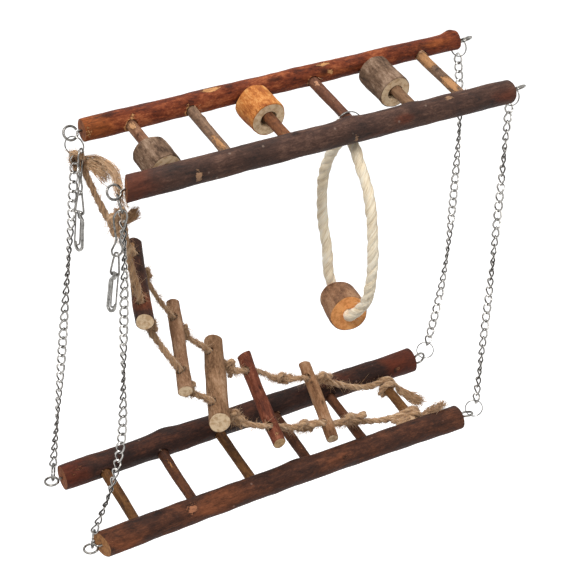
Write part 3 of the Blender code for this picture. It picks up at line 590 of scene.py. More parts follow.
def hairs(roots, ways, curls, lengths, thickness, shift):
    """Loose fibres: each runs from its root along its way and droops by its curl times the square of
    the distance, on a three-cornered profile that thins to its tip."""
    t = np.linspace(0, 1, 5)[None, :, None]
    lengths = lengths[:, None, None]
    line = roots[:, None] + ways[:, None] * lengths * t + curls[:, None] * lengths * t**2
    side = unit(np.cross(ways, np.roll(ways, 1, axis=1) + 0.3))
    third = unit(np.cross(ways, side))
    angle = np.linspace(0, TAU, 3, endpoint=False)[None, None, :, None]
    thin = thickness / 2 * (1.05 - 0.85 * t[..., None])
    ring = np.cos(angle) * side[:, None, None] + np.sin(angle) * third[:, None, None]
    return fibre_shells(line[:, :, None] + thin * ring, shift + lengths * t)


def fuzz(path, lean, diameter, count, reach, seed, thickness=0.28 * MM):
    """Short fibres that stand off a rope: roots spread over its surface, pointing mostly along it."""
    chance = np.random.default_rng(seed)
    tangent, across, third = axes_along(path, lean)
    place = chance.integers(1, len(path) - 1, count)
    angle = chance.uniform(0, TAU, count)[:, None]
    out = np.cos(angle) * across[place] + np.sin(angle) * third[place]
    roots = path[place] + out * diameter * 0.42
    sense = chance.choice((-1.0, 1.0), count)[:, None]
    ways = unit(tangent[place] * sense + out * chance.uniform(0.2, 1.0, count)[:, None]
                + 0.3 * chance.normal(size=(count, 3)))
    curls = 0.5 * chance.normal(size=(count, 3)) - 0.2 * UP
    return hairs(roots, ways, curls, chance.uniform(0.4, 1.0, count) * reach, thickness, seed)


def hank(path, lean, widths, depths, count, seed, thickness, stray):
    """Loose fibres side by side along a route: each keeps its own place in a flat oval that grows from
    the first width and depth to the last, sways by two cosines, and stops somewhere near the end.
    Sizes are in mm."""
    widths, depths = np.array((widths, depths)) * MM
    thickness, stray = thickness * MM, stray * MM
    chance = np.random.default_rng(seed)
    stations = len(path)
    _, across, third = axes_along(path, lean)
    angle = chance.uniform(0, TAU, count)[:, None]
    reach = np.sqrt(chance.uniform(0, 1, count))[:, None]
    stop = chance.uniform(0.72, 1.0, count)[:, None]
    t = np.linspace(0, 1, stations)[None, :] * stop
    wide = reach * np.cos(angle) * (widths[0] + (widths[1] - widths[0]) * t) / 2
    deep = reach * np.sin(angle) * (depths[0] + (depths[1] - depths[0]) * t) / 2
    phase = chance.uniform(0, TAU, (2, count, 1))
    wide = wide + stray * np.cos(5 * t + phase[0]) * (0.3 + t)
    deep = deep + stray * np.cos(7 * t + phase[1]) * (0.3 + t)
    place = t * (stations - 1)
    line = np.stack([np.interp(place, np.arange(stations), path[:, k]) for k in range(3)], axis=-1)
    line = line + wide[..., None] * across[None] + deep[..., None] * third[None]
    corner = np.linspace(0, TAU, 3, endpoint=False)
    profile = np.cos(corner)[:, None] * across[:, None] + np.sin(corner)[:, None] * third[:, None]
    thin = thickness / 2 * (1.05 - 0.6 * np.linspace(0, 1, stations)**3)[None, :, None, None]
    return fibre_shells(line[:, :, None] + thin * profile, seed + (t * length_of(path))[..., None])


# Finishes

def srgb(red, green, blue):
    """Screen colour out of 255 to the linear colour that a shader takes."""
    value = np.array((red, green, blue)) / 255
    linear = np.where(value <= 0.04045, value / 12.92, ((value + 0.055) / 1.055) ** 2.4)
    return (*linear.tolist(), 1.0)


class Nodes:
    """A node tree under construction: short calls that add a node and feed its sockets."""

    def __init__(self, tree):
        self.tree = tree

    def feed(self, socket, value):
        """Links a socket to another node's output, or sets it to a plain value."""
        if isinstance(value, bpy.types.NodeSocket):
            self.tree.links.new(value, socket)
        else:
            socket.default_value = value

    def add(self, kind, output, inputs, **settings):
        """A new node with its settings made and its sockets fed; gives one output, or all of them."""
        node = self.tree.nodes.new(f"ShaderNode{kind}")
        for label, value in settings.items():
            setattr(node, label, value)
        for label, value in inputs.items():
            self.feed(node.inputs[label], value)
        return node.outputs if output is None else node.outputs[output]

    def surface_value(self, label):
        """A value that the mesh carries on its points."""
        return self.add("Attribute", "Vector", {}, attribute_name=label)

    def object_place(self):
        """Place in the object's own axes."""
        return self.add("TexCoord", "Object", {})

    def stretched(self, place, along, across=1.0):
        """A place times a share along and a share across, so that patterns draw out where it is small."""
        return self.add("Mapping", "Vector", {"Vector": place, "Scale": (along, across, 1.0)})

    def noise(self, place, scale, detail, rough, warp=0.0):
        """Cloudy noise about a half, with scale waves to a metre."""
        return self.add("TexNoise", "Fac", {"Vector": place, "Scale": scale, "Detail": detail,
                                            "Roughness": rough, "Distortion": warp})

    def cells(self, place, scale):
        """Scattered points: distance to the nearest and its own colour."""
        return self.add("TexVoronoi", None, {"Vector": place, "Scale": scale})

    def span(self, value, low, high, out_low=0.0, out_high=1.0, soft=True):
        """A value from low to high carried over to the other two bounds, eased at both ends if soft."""
        return self.add("MapRange", "Result", {"Value": value, "From Min": low, "From Max": high,
                                               "To Min": out_low, "To Max": out_high},
                        interpolation_type="SMOOTHSTEP" if soft else "LINEAR")

    def split(self, vector):
        """The three parts of a vector."""
        return self.add("SeparateXYZ", None, {0: vector})

    def math(self, kind, first, second=0.0):
        """One sum on two values, or on the first alone."""
        return self.add("Math", 0, {0: first, 1: second}, operation=kind)

    def plus(self, first, second):
        """First plus second."""
        return self.math("ADD", first, second)

    def minus(self, first, second):
        """First less second."""
        return self.math("SUBTRACT", first, second)

    def times(self, first, second):
        """First times second."""
        return self.math("MULTIPLY", first, second)

    def around(self, value, share):
        """How far a noise strays from its middle, times a share."""
        return self.times(self.minus(value, 0.5), share)

    def blend(self, first, second, share):
        """The first value times one less the share, plus the second times the share."""
        return self.plus(self.times(first, 1 - share), self.times(second, share))

    def ramp(self, value, stops):
        """A colour picked by a value between stops of place and colour."""
        node = self.tree.nodes.new("ShaderNodeValToRGB")
        self.feed(node.inputs["Fac"], value)
        points = node.color_ramp.elements
        while len(points) < len(stops):
            points.new(0.5)
        for point, (place, colour) in zip(points, stops):
            point.position = place
            point.color = colour
        return node.outputs["Color"]

    def mix(self, amount, first, second):
        """The first colour times one less the amount, plus the second times the amount."""
        return self.add("Mix", 2, {"Factor": amount, 6: first, 7: second}, data_type="RGBA")

    def bump(self, height, distance, strength):
        """Surface direction over small heights."""
        return self.add("Bump", "Normal", {"Height": height, "Distance": distance, "Strength": strength})

    def seen_directly(self):
        """1 for rays from the camera, a mirror or glass, and 0 for light on its way to the object."""
        rays = self.tree.nodes.new("ShaderNodeLightPath").outputs
        mirrored = self.math("MAXIMUM", rays["Is Glossy Ray"], rays["Is Transmission Ray"])
        return self.math("MAXIMUM", rays["Is Camera Ray"], mirrored)


class Finish(Nodes):
    """A material under construction."""

    def __init__(self, name):
        self.material = bpy.data.materials.new(name)
        self.material.use_nodes = True
        super().__init__(self.material.node_tree)
        self.shader = self.tree.nodes["Principled BSDF"]

    def put(self, **values):
        """Feeds the shader's sockets, whose names are written with underscores."""
        for label, value in values.items():
            self.feed(self.shader.inputs[label.replace("_", " ")], value)
        return self.material


def tint(colour, share, lift=0.0):
    """A linear colour times a share, plus a lift, kept below white."""
    return tuple(min(1.0, share * part + lift) for part in colour[:3]) + (1.0,)


def bark(name, dark, middle, light, bare, dots=0.0, rough=(0.5, 0.78), streaky=0.34, gloss=0.11,
         mottled=0.6, blushed=None):
    """Bark: long streaks and fine specks over broad patches pick one of three colours, thin cracks run
    along it; peeled spots show ragged bare wood, knots go dark, the sunk bark in holes gets painted shade,
    torn rims go pale, and small pale pores may dot it; blushed gives the colour of the parts that differ."""
    dark, middle, light, bare = (srgb(*tone) for tone in (dark, middle, light, bare))
    look = Finish(name)
    place = look.surface_value("grain")
    mark = look.split(look.surface_value("marks"))
    broad = look.noise(look.stretched(place, 0.55), 75, 4, 0.6, 0.6)
    streak = look.noise(look.stretched(place, 0.09), 420, 4, 0.6, 0.4)
    fine = look.noise(look.stretched(place, 0.4), 1300, 3, 0.7)
    crack = look.noise(look.stretched(place, 0.06), 800, 3, 0.6, 0.5)
    mottle = look.noise(look.stretched(place, 0.4), 420, 5, 0.75, 0.3)
    shade = look.plus(look.blend(broad, streak, streaky), look.around(mottle, mottled))
    shade = look.span(look.plus(shade, look.around(fine, 0.4)), 0.26, 0.76, soft=False)
    colour = look.ramp(shade, [(0.1, dark), (0.5, middle), (0.92, light)])
    if blushed:
        blushed = srgb(*blushed)
        other = look.ramp(shade, [(0.1, tint(blushed, 0.3)), (0.55, blushed), (0.95, tint(blushed, 1.5))])
        where = look.plus(look.split(look.surface_value("blush"))["X"], look.around(broad, 0.8))
        colour = look.mix(look.span(where, 0.2, 0.9, 0.0, 0.85), colour, other)
    cracked = look.span(crack, 0.36, 0.28)
    colour = look.mix(look.times(cracked, 0.55), colour, tint(dark, 0.5))
    flaky = look.noise(look.stretched(place, 0.6), 460, 6, 0.8, 1.2)
    uneven = look.plus(look.minus(flaky, 0.5), look.around(streak, 0.4))
    bared = look.plus(mark["X"], look.times(uneven, 1.5))
    peeled = look.span(bared, 0.5, 0.6)
    edge = look.times(look.span(bared, 0.4, 0.5), look.span(mark["X"], 0.05, 0.25))
    colour = look.mix(look.times(edge, 0.4), colour, tint(dark, 0.7))
    wood = look.ramp(look.span(look.blend(streak, fine, 0.4), 0.34, 0.66),
                     [(0.0, tint(bare, 0.5)), (0.5, tint(bare, 0.82)), (1.0, bare)])
    colour = look.mix(peeled, colour, wood)
    height = look.plus(look.times(streak, 0.7), look.plus(mottle, look.times(fine, 0.5)))
    height = look.minus(height, look.times(cracked, 0.5))
    height = look.minus(height, look.times(peeled, 0.6))
    if dots:
        pore = look.cells(place, 170)
        chosen = look.span(look.split(pore["Color"])["X"], 1 - dots, 1 - dots + 0.02)
        dotted = look.times(look.span(pore["Distance"], 0.2, 0.08), chosen)
        colour = look.mix(look.times(dotted, 0.6), colour, tint(bare, 0.45, 0.09))
        height = look.plus(height, look.times(dotted, 0.6))
    # knots and singed rims go dark, and the sunk bark in holes gets painted shade
    dark_marks_and_hole_shade = look.span(look.plus(mark["Y"], look.times(uneven, 0.6)), 0.35, 0.8)
    colour = look.mix(look.times(dark_marks_and_hole_shade, 0.75), colour, tint(dark, 0.3))
    torn = look.span(look.plus(mark["Z"], look.around(fine, 1.6)), 0.5, 0.75)
    colour = look.mix(look.times(torn, 0.7), colour, bare)
    polish = look.span(look.blend(broad, fine, 0.4), 0.3, 0.7, *rough)
    return look.put(Base_Color=colour, Roughness=polish, Normal=look.bump(height, 0.0005, 0.8),
                    Specular_IOR_Level=gloss)


def sawn(name, pale, tan, stained, heart):
    """Sawn end grain: growth rings by distance from the pith, which wander a little, specks, a darker
    heart and stained patches, under fine saw marks; a bore's wall gets painted shade, darker towards its
    middle."""
    pale, tan, stained, heart = (srgb(*tone) for tone in (pale, tan, stained, heart))
    look = Finish(name)
    place = look.surface_value("grain")
    mark = look.split(look.surface_value("marks"))
    part = look.split(place)
    squares = look.plus(look.times(part["Y"], part["Y"]), look.times(part["Z"], part["Z"]))
    from_pith = look.math("SQRT", squares)
    wander = look.times(look.noise(place, 180, 3, 0.5), 1.6 * MM)
    ringed = look.math("SINE", look.times(look.plus(from_pith, wander), TAU / GROWTH_RING))
    speck = look.noise(place, 2600, 3, 0.7)
    saw = look.noise(look.stretched(place, 1.0, 0.12), 1900, 2, 0.6)
    stain = look.noise(place, 320, 4, 0.6)
    colour = look.mix(look.span(ringed, -0.6, 1.0, 0.0, 0.35), pale, tan)
    colour = look.mix(look.span(speck, 0.48, 0.75, 0.0, 0.7), colour, tan)
    colour = look.mix(look.span(from_pith, 1.6 * MM, 0.4 * MM, 0.0, 0.4), colour, heart)
    colour = look.mix(look.span(stain, 0.42, 0.64, 0.0, 0.75), colour, stained)
    # painted shade down a bore, darker towards its middle, with any dark knot or rim marks that reach the cut
    colour = look.mix(look.times(mark["Y"], 0.75), colour, tint(stained, 0.12))
    height = look.plus(look.times(speck, 0.5), look.plus(saw, look.times(ringed, 0.12)))
    return look.put(Base_Color=colour, Roughness=look.span(speck, 0.3, 0.7, 0.72, 0.9),
                    Normal=look.bump(height, 0.00022, 0.5), Specular_IOR_Level=0.25)


def fibre(name, dark, middle, light, line=2600, sheen=0.25):
    """Rope fibre: fine lines and short dark flecks along each ply, with paler and browner runs and a
    soft sheen."""
    dark, middle, light = (srgb(*tone) for tone in (dark, middle, light))
    look = Finish(name)
    place = look.surface_value("grain")
    lines = look.noise(look.stretched(place, 0.05), line, 3, 0.7, 0.3)
    runs = look.noise(look.stretched(place, 0.35), 160, 4, 0.6)
    fleck = look.noise(look.stretched(place, 0.16), 620, 3, 0.65, 0.4)
    shade = look.span(look.blend(lines, runs, 0.45), 0.32, 0.7, soft=False)
    colour = look.ramp(shade, [(0.05, dark), (0.45, middle), (0.95, light)])
    colour = look.mix(look.span(fleck, 0.54, 0.7, 0.0, 0.6), colour, dark)
    height = look.plus(lines, look.times(fleck, -1.2))
    return look.put(Base_Color=colour, Roughness=look.span(runs, 0.3, 0.7, 0.82, 0.95),
                    Normal=look.bump(height, 0.0006, 0.9), Sheen_Weight=sheen, Sheen_Roughness=0.5,
                    Specular_IOR_Level=0.2)


def plated(name, tone, dull_and_shade, rough=(0.16, 0.34), painted_light_radius=0.0):
    """Plated wire: darker, rougher patches and a fine tooth; where the wire's radius is given, its two flat
    sides keep the plated tone and the rest is painted dark, a painted shade that stands in for dark
    reflections."""
    tone, dull_and_shade = srgb(*tone), srgb(*dull_and_shade)
    look = Finish(name)
    place = look.object_place()
    patch = look.noise(place, 340, 4, 0.6)
    fine = look.noise(place, 2400, 2, 0.6)
    # painted reflection: with the wire's radius given, the flat sides show the plated tone and the rest takes
    # the dark colour as painted shade
    if painted_light_radius:
        flat = look.math("ABSOLUTE", look.split(look.surface_value("grain"))["Y"])
        painted_lit_sides = look.span(look.plus(flat, look.around(patch, painted_light_radius)), 0.4 * painted_light_radius, painted_light_radius)
        colour = look.mix(painted_lit_sides, dull_and_shade, tone)
    else:
        colour = look.mix(look.span(patch, 0.4, 0.68), tone, dull_and_shade)
    return look.put(Base_Color=colour, Metallic=1.0, Roughness=look.span(patch, 0.3, 0.7, *rough),
                    Normal=look.bump(fine, 0.00004, 0.4))


FINISHES = {
    "upper_rear": bark("bark_cinnamon", (52, 21, 13), (112, 53, 31), (166, 96, 60), (206, 150, 98),
                       blushed=(138, 74, 36)),
    "upper_front": bark("bark_grey_brown", (31, 20, 16), (67, 46, 38), (108, 80, 67), (164, 126, 96),
                        dots=0.16, gloss=0.16, mottled=0.4, blushed=(84, 43, 29)),
    "lower_rear": bark("bark_dark", (24, 14, 11), (50, 31, 25), (90, 54, 40), (150, 98, 66),
                       dots=0.16, gloss=0.14, mottled=0.4, blushed=(90, 42, 27)),
    "lower_front": bark("bark_dark_red", (30, 17, 12), (67, 40, 29), (110, 68, 48), (170, 112, 80),
                        dots=0.18, gloss=0.14, mottled=0.5, blushed=(124, 72, 46)),
    "grey_log": bark("bark_taupe", (60, 44, 34), (114, 90, 72), (158, 133, 112), (172, 140, 108),
                     rough=(0.7, 0.9), streaky=0.1, gloss=0.1, mottled=0.75),
    "orange_log": bark("wood_peeled_orange", (128, 62, 28), (190, 118, 60), (226, 174, 108), (232, 196, 122),
                       rough=(0.6, 0.85), streaky=0.2, gloss=0.12),
    "bead_log": bark("bark_bead", (90, 60, 43), (146, 107, 79), (180, 142, 110), (214, 176, 132),
                     rough=(0.6, 0.85), streaky=0.2, gloss=0.12),
    "tan_rung": bark("rung_tan", (74, 44, 32), (124, 87, 65), (178, 136, 106), (198, 150, 108),
                     streaky=0.6),
    "grey_rung": bark("rung_grey", (76, 57, 45), (126, 99, 79), (162, 130, 104), (188, 138, 94),
                      streaky=0.5),
    "brown_rung": bark("rung_brown", (70, 42, 29), (114, 72, 47), (152, 100, 64), (184, 132, 90)),
    "taupe_rung": bark("rung_taupe", (88, 64, 48), (124, 94, 70), (150, 118, 90), (190, 140, 100)),
    "red_rung": bark("rung_red", (64, 40, 32), (102, 66, 50), (140, 96, 72), (188, 138, 106)),
    "ochre_rung": bark("rung_ochre", (58, 36, 21), (98, 65, 37), (132, 94, 56), (180, 132, 84)),
    "dark_rung": bark("rung_dark", (48, 29, 21), (80, 49, 34), (114, 72, 46), (178, 122, 78)),
    "step_1": bark("step_dark_bark", (34, 22, 18), (68, 43, 34), (110, 74, 56), (196, 150, 106),
                   rough=(0.6, 0.85), gloss=0.12, blushed=(112, 62, 42)),
    "step_2": bark("step_brown_tan", (92, 62, 42), (140, 105, 79), (178, 146, 118), (200, 166, 128),
                   rough=(0.65, 0.9), streaky=0.25, gloss=0.1),
    "step_3": bark("step_grey_tan", (88, 62, 42), (140, 106, 78), (174, 142, 114), (198, 166, 128),
                   rough=(0.65, 0.9), streaky=0.2, gloss=0.1),
    "step_4": bark("step_red_brown", (56, 26, 18), (106, 56, 39), (150, 94, 70), (198, 150, 104)),
    "step_5": bark("step_tan", (88, 58, 38), (144, 105, 75), (176, 142, 112), (202, 166, 124),
                   rough=(0.65, 0.9), streaky=0.25, gloss=0.1),
    "splinter": bark("torn_bark", (128, 92, 68), (172, 132, 100), (206, 172, 138), (214, 180, 140)),
    "cream_end": sawn("sawn_cream", (230, 205, 170), (210, 176, 136), (184, 146, 106), (154, 114, 74)),
    "tan_end": sawn("sawn_tan", (206, 172, 128), (184, 146, 102), (150, 110, 72), (128, 90, 56)),
    "ochre_end": sawn("sawn_ochre", (184, 132, 84), (158, 106, 64), (124, 76, 46), (104, 64, 40)),
    "rust_end": sawn("sawn_rust", (150, 92, 58), (124, 72, 44), (96, 52, 32), (80, 44, 28)),
    "orange_end": sawn("sawn_orange", (228, 162, 100), (214, 144, 84), (190, 118, 64), (160, 92, 46)),
    "jute": fibre("jute_fibre", (100, 66, 40), (184, 145, 107), (234, 206, 170)),
    "sisal": fibre("sisal_fibre", (206, 182, 146), (253, 237, 207), (255, 250, 236), line=1500, sheen=0.4),
    # painted shade: the near-black second colour darkens the links' edges in place of dark reflections
    "chain_nickel": plated("chain_nickel", (178, 175, 170), (30, 28, 26), (0.2, 0.34), CHAIN_WIRE / 2),
    "nickel": plated("nickel_plate", (140, 137, 132), (84, 81, 77)),
    "ring_steel": plated("ring_steel", (142, 140, 136), (92, 90, 86), (0.12, 0.26)),
    "hook_steel": plated("hook_steel", (158, 156, 152), (104, 102, 98), (0.2, 0.4)),
}


# Ladders

def rung_x(level, number):
    """A rung's place along its rail: whole pitches from the middle, plus its own shift."""
    return (number - (RUNG_COUNT - 1) / 2) * RUNG_PITCH + RUNG_SHIFTS[level][number] * MM


def rail_y(side):
    """Half the rail spacing, to the rail's side."""
    return SIDES[side] * RAIL_SPACING / 2


# Each spot: along mm, degrees round from the rear over the top, half sizes along and round mm, strength
RAIL_FEATURES = {
    "upper_rear": {
        "knots": ((31, 142, 5.2, 4.4, 0.7), (139.5, 62, 5.0, 4.5, 2.0), (-127, 96, 9, 3.5, 0.1),
                  (-6, 120, 10, 3, 0.1)),
        "peels": ((-53, 86, 6, 2.4, 0.85), (33, 98, 5, 2, 0.8), (-143, 150, 3, 7, 0.5), (36, 150, 3, 2, 0.7),
                  (-112.4, 150, 2.2, 3.4, 0.6), (-111.5, 132, 1.8, 3.0, 0.52), (-72.4, 156, 2.6, 3.4, 0.62)),
        "crook": (0.0, 0.8 * MM),
        "blushes": ((-140, 150, 16, 30, 1.0), (118, 130, 24, 5, 0.7), (40, 160, 40, 3, 0.6)),
        "slants": ((0.04, 180), (0.0, 0)),
        "lift": 1.0 * MM,
        "end": "rust_end",
    },
    "upper_front": {
        "knots": ((-26, 88, 5, 3.4, 1.0), (15, 52, 8, 4.5, 1.5), (65, 60, 7, 4, 0.9)),
        "peels": ((-99, 163, 2.4, 4, 0.8), (16.4, 173, 2, 3.4, 0.7), (92.7, 96, 3.5, 2.4, 0.75),
                  (-146, 140, 4, 9, 0.4)),
        "crook": (0.0, 0.5 * MM),
        "blushes": ((-141, 150, 20, 30, 0.85), (134, 165, 16, 8, 0.8), (54, 146, 9, 4, 0.9),
                    (36, 190, 30, 4, 0.5)),
        "slants": ((0.35, 180), (0.1, 180)),
        "lift": -0.8 * MM,
        "end": "rust_end",
    },
    "lower_rear": {
        "knots": ((-66, 42, 9, 5, 1.6), (125, 152, 3, 3, 0.4)),
        "peels": ((-141, 140, 7, 6, 0.4), (-134, 111, 4, 3, 0.55), (127, 150, 3.4, 1.6, 0.6)),
        "crook": (0.0, 0.6 * MM),
        "blushes": ((-139, 130, 14, 20, 0.95), (134, 130, 17, 30, 1.1), (60, 110, 40, 4, 0.5)),
        "slants": ((0.0, 180), (0.0, 0)),
        "lift": 1.2 * MM,
        "end": "rust_end",
    },
    "lower_front": {
        "knots": ((41.6, 133, 4, 3, 0.8), (6, 40, 8, 5, 1.2), (-103, 80, 6, 4, 0.5)),
        "peels": ((-81.0, 128, 1.8, 3.2, 0.8), (-78.6, 118, 2.8, 2.2, 0.85), (-79.4, 112, 5.4, 6.0, 0.55),
                  (-55, 125, 10, 3, 0.4), (-43, 86, 13, 3, 0.42), (-141, 130, 6, 9, 0.42),
                  (42, 133, 3, 2, 0.6)),
        "crook": (0.0, 2.2 * MM),
        "blushes": ((-134, 130, 22, 20, 0.7), (-60, 122, 27, 11, 1.0), (36, 130, 12, 4, 0.6),
                    (138, 110, 10, 9, 0.4)),
        "slants": ((0.3, 0), (0.0, 0)),
        "waist": 0.7 * MM,
        "end": "ochre_end",
    },
}
RUNG_TEARS = {      # how torn the bark is at each rung's hole
    "upper_rear": (0.9, 0.8, 0.3, 0.6, 0.8, 0.7),
    "upper_front": (0.2, 0.3, 0.2, 0.3, 0.6, 0.6),
    "lower_rear": (0.3, 0.2, 0.4, 0.2, 0.2, 0.3),
    "lower_front": (0.2, 0.3, 0.2, 0.3, 0.2, 0.2),
}


def build_rail(level, side, seed):
    """One rail: a bark log with the holes of its six rungs."""
    name = f"{level}_{side}"
    y = rail_y(side)
    half = RAIL_LENGTH / 2
    features = dict(RAIL_FEATURES[name])
    end_finish = features.pop("end")
    inward = -SIDES[side] * RUNG_WAY
    holes = [(on_ladder(level, rung_x(level, number), y), inward, RUNG_DIAMETER + RUNG_HOLE_PLAY,
              RUNG_HOLE_DEPTH, RUNG_HOLE_LIP * tear, tear) for number, tear in enumerate(RUNG_TEARS[name])]
    log = bark_log(on_ladder(level, -half, y), on_ladder(level, half, y), RAIL_ENDS[name], RUNG_WAY, seed,
                   rows=420, sides=96, lump=0.28 * MM, relief=0.05 * MM, edge=0.5 * MM, holes=holes,
                   **features)
    add_piece(f"{name}_branch", [log], [name, end_finish], f"{level}_ladder", [f"{name}_rail"])


RUNG_LOOKS = {      # finish, peeled spots, knots, bow along the rail and up in mm
    "upper_1": ("tan_rung", ((-22, 120, 5, 3, 0.7),), ((20, 100, 2, 2, 0.3), (-12, 130, 2, 2, 0.2)),
                (0.3, 0.2)),
    "upper_2": ("grey_rung", ((16, 120, 11, 2.6, 0.7),), ((-14, 60, 2, 3, 0.5),), (0.5, 0.4)),
    "upper_3": ("brown_rung", ((24, 130, 8, 1.2, 0.6),), (), (-0.3, 0.3)),
    "upper_4": ("red_rung", ((-20, 110, 4, 3, 0.6), (2, 120, 8, 2, 0.5)), (), (0.4, 0.5)),
    "upper_5": ("taupe_rung", ((28, 120, 3, 3, 0.7),), (), (0.2, 0.2)),
    "upper_6": ("grey_rung", ((13, 120, 9, 4, 0.95), (-18, 115, 9, 5, 1.0)), ((-4, 110, 2.0, 3, 0.5),),
                (0.3, 0.7)),
    "lower_1": ("ochre_rung", (), ((8, 70, 2, 2, 0.3),), (0.3, 0.2)),
    "lower_2": ("dark_rung", ((-10, 110, 8, 2, 0.5),), (), (-0.4, 0.3)),
    "lower_3": ("ochre_rung", (), (), (0.3, 0.2)),
    "lower_4": ("dark_rung", ((14, 110, 8, 2, 0.5),), (), (0.3, 0.3)),
    "lower_5": ("dark_rung", (), (), (0.2, 0.3)),
    "lower_6": ("ochre_rung", (), (), (-0.2, 0.2)),
}


def build_rung(level, number, seed):
    """One rung: a thin bark log from just past one rail's centre to just past the other's."""
    finish, peels, knots, bow = RUNG_LOOKS[f"{level}_{number + 1}"]
    reach = RAIL_SPACING / 2 + RUNG_PAST_CENTRE
    x = rung_x(level, number)
    log = bark_log(on_ladder(level, x, reach), on_ladder(level, x, -reach), (RUNG_DIAMETER, RUNG_DIAMETER),
                   X_AXIS, seed, rows=130, sides=40, lump=0.16 * MM, relief=0.05 * MM, edge=0.4 * MM,
                   knots=knots, peels=peels, crook=(bow[0] * MM, -bow[1] * MM))
    name = f"{level}_rung_{number + 1}"
    add_piece(f"{name}_branch", [log], [finish, "tan_end"], f"{level}_ladder", [name])


def build_slivers(level, side, seed):
    """Torn bark at the rung holes: short splinters that stand off the rim, more where it is more torn."""
    chance = np.random.default_rng(seed)
    shells = []
    y = rail_y(side) - SIDES[side] * (RAIL_ENDS[f"{level}_{side}"][0] / 2 - 0.6 * MM)
    inward = -SIDES[side] * RUNG_WAY
    for number, tear in enumerate(RUNG_TEARS[f"{level}_{side}"]):
        count = round(SPLINTERS * tear)
        clock = chance.uniform(-0.6, math.pi + 0.6, count)[:, None]
        out = np.cos(clock) * X_AXIS + np.sin(clock) * LADDER_UP
        sunk = inward * chance.uniform(0.4, 1.6, count)[:, None] * MM
        roots = on_ladder(level, rung_x(level, number), y) + out * (RUNG_DIAMETER / 2 + 0.4 * MM) - sunk
        ways = unit(inward * chance.uniform(0.4, 1.0, count)[:, None]
                    + out * chance.uniform(-0.1, 0.4, count)[:, None]
                    + X_AXIS * chance.normal(0, 0.4, count)[:, None])
        curls = 0.4 * chance.normal(size=(count, 3))
        shells += hairs(roots, ways, curls, chance.uniform(1.2, 3.2, count) * MM, 0.7 * MM, seed)
    add_piece(f"{level}_{side}_torn_bark", shells, ["splinter"], f"{level}_ladder")


# Eye screws and split rings

def pull_of(level):
    """The way a ring pulls on its eye: down from the upper ladder, up from the lower one."""
    return -UP if level == "upper" else UP


def eye_centre(level, side, end):
    """Middle of an eye: its standoff beyond the rail's end."""
    return on_ladder(level, ENDS[end] * (RAIL_LENGTH / 2 + EYE_STANDOFF), rail_y(side))


def eye_grip(level, side, end):
    """Point of an eye's wire that its split ring pulls on."""
    turn, grip, _, _ = np.radians(CORNER_FITS[f"{level}_{side}_{end}"])
    in_eye = turned(turned(UP, X_AXIS, turn), X_AXIS, CROSS_TILT)
    if np.dot(in_eye, pull_of(level)) < 0:
        in_eye = -in_eye
    return eye_centre(level, side, end) + (in_eye * math.cos(grip) + X_AXIS * math.sin(grip)) * EYE_RADIUS


def split_ring(level, side, end):
    """Middle, normal and pull of a split ring on its eye."""
    _, _, lean, turn = np.radians(CORNER_FITS[f"{level}_{side}_{end}"])
    pull = np.array((math.sin(lean), 0, pull_of(level)[2] * math.cos(lean)))
    normal = square_to(turned(X_AXIS, UP, turn), pull)
    reach = SPLIT_RADIUS - (EYE_WIRE + SPLIT_WIRE) / 2 - RING_PLAY
    return eye_grip(level, side, end) + pull * reach, normal, pull


def ring_far_point(level, side, end):
    """Point of a split ring furthest from its eye."""
    middle, _, pull = split_ring(level, side, end)
    return middle + pull * SPLIT_RADIUS


def coil(middle, normal, pull, radius, thick, start):
    """Split ring: two turns of one wire side by side, crossing over within a few degrees."""
    angle = np.linspace(0.05, 2 * TAU - 0.05, 120)
    side = np.cross(normal, pull)
    thin = COIL_WIRE * thick
    layer = thin / 2 * np.tanh((angle - TAU) / 0.16)
    path = (middle + radius * (np.cos(angle + start)[:, None] * pull + np.sin(angle + start)[:, None] * side)
            + layer[:, None] * normal)
    return wire(path, normal, thin, 8)


def build_split_ring(level, side, end):
    """A corner's split ring: an upper one stays with its ladder, a lower one moves with its chain."""
    name = f"{level}_{side}_{end}"
    body = "upper_ladder" if level == "upper" else f"chain_{side}_{end}"
    ring = coil(*split_ring(level, side, end), SPLIT_RADIUS, SPLIT_WIRE, COIL_START)
    add_piece(f"{name}_split_ring", [ring], ["ring_steel"], body, [f"{name}_ring"])


# Degrees, where an eye screw stops further round than its ring needs
EYE_TURNS = {"lower_rear_right": -4}


def build_eye(level, side, end):
    """Eye screw: a straight shank, a short neck and most of a circle of one round wire."""
    name = f"{level}_{side}_{end}"
    turn = math.radians(EYE_TURNS.get(name, CORNER_FITS[name][0]))
    rise = turned(turned(UP, X_AXIS, turn), X_AXIS, CROSS_TILT)
    angle = math.pi + EYE_MOUTH / 4 + (TAU - 0.8 * EYE_MOUTH) * np.linspace(0, 1, 17)
    shank = [(-EYE_STANDOFF - EYE_SHANK, 0), (-EYE_STANDOFF - EYE_SHANK / 2, 0), (-EYE_RADIUS - EYE_WIRE, 0)]
    flat = np.vstack([shank, EYE_RADIUS * np.stack([np.cos(angle), np.sin(angle)], axis=1)])
    points = laid(eye_centre(level, side, end), flat, ENDS[end] * X_AXIS, rise)
    eye = wire(smooth(points, 90), np.cross(X_AXIS, rise), EYE_WIRE, 12)
    add_piece(f"{name}_eye_screw", [eye], ["nickel"], f"{level}_ladder", [f"{name}_eye"])


# Chains

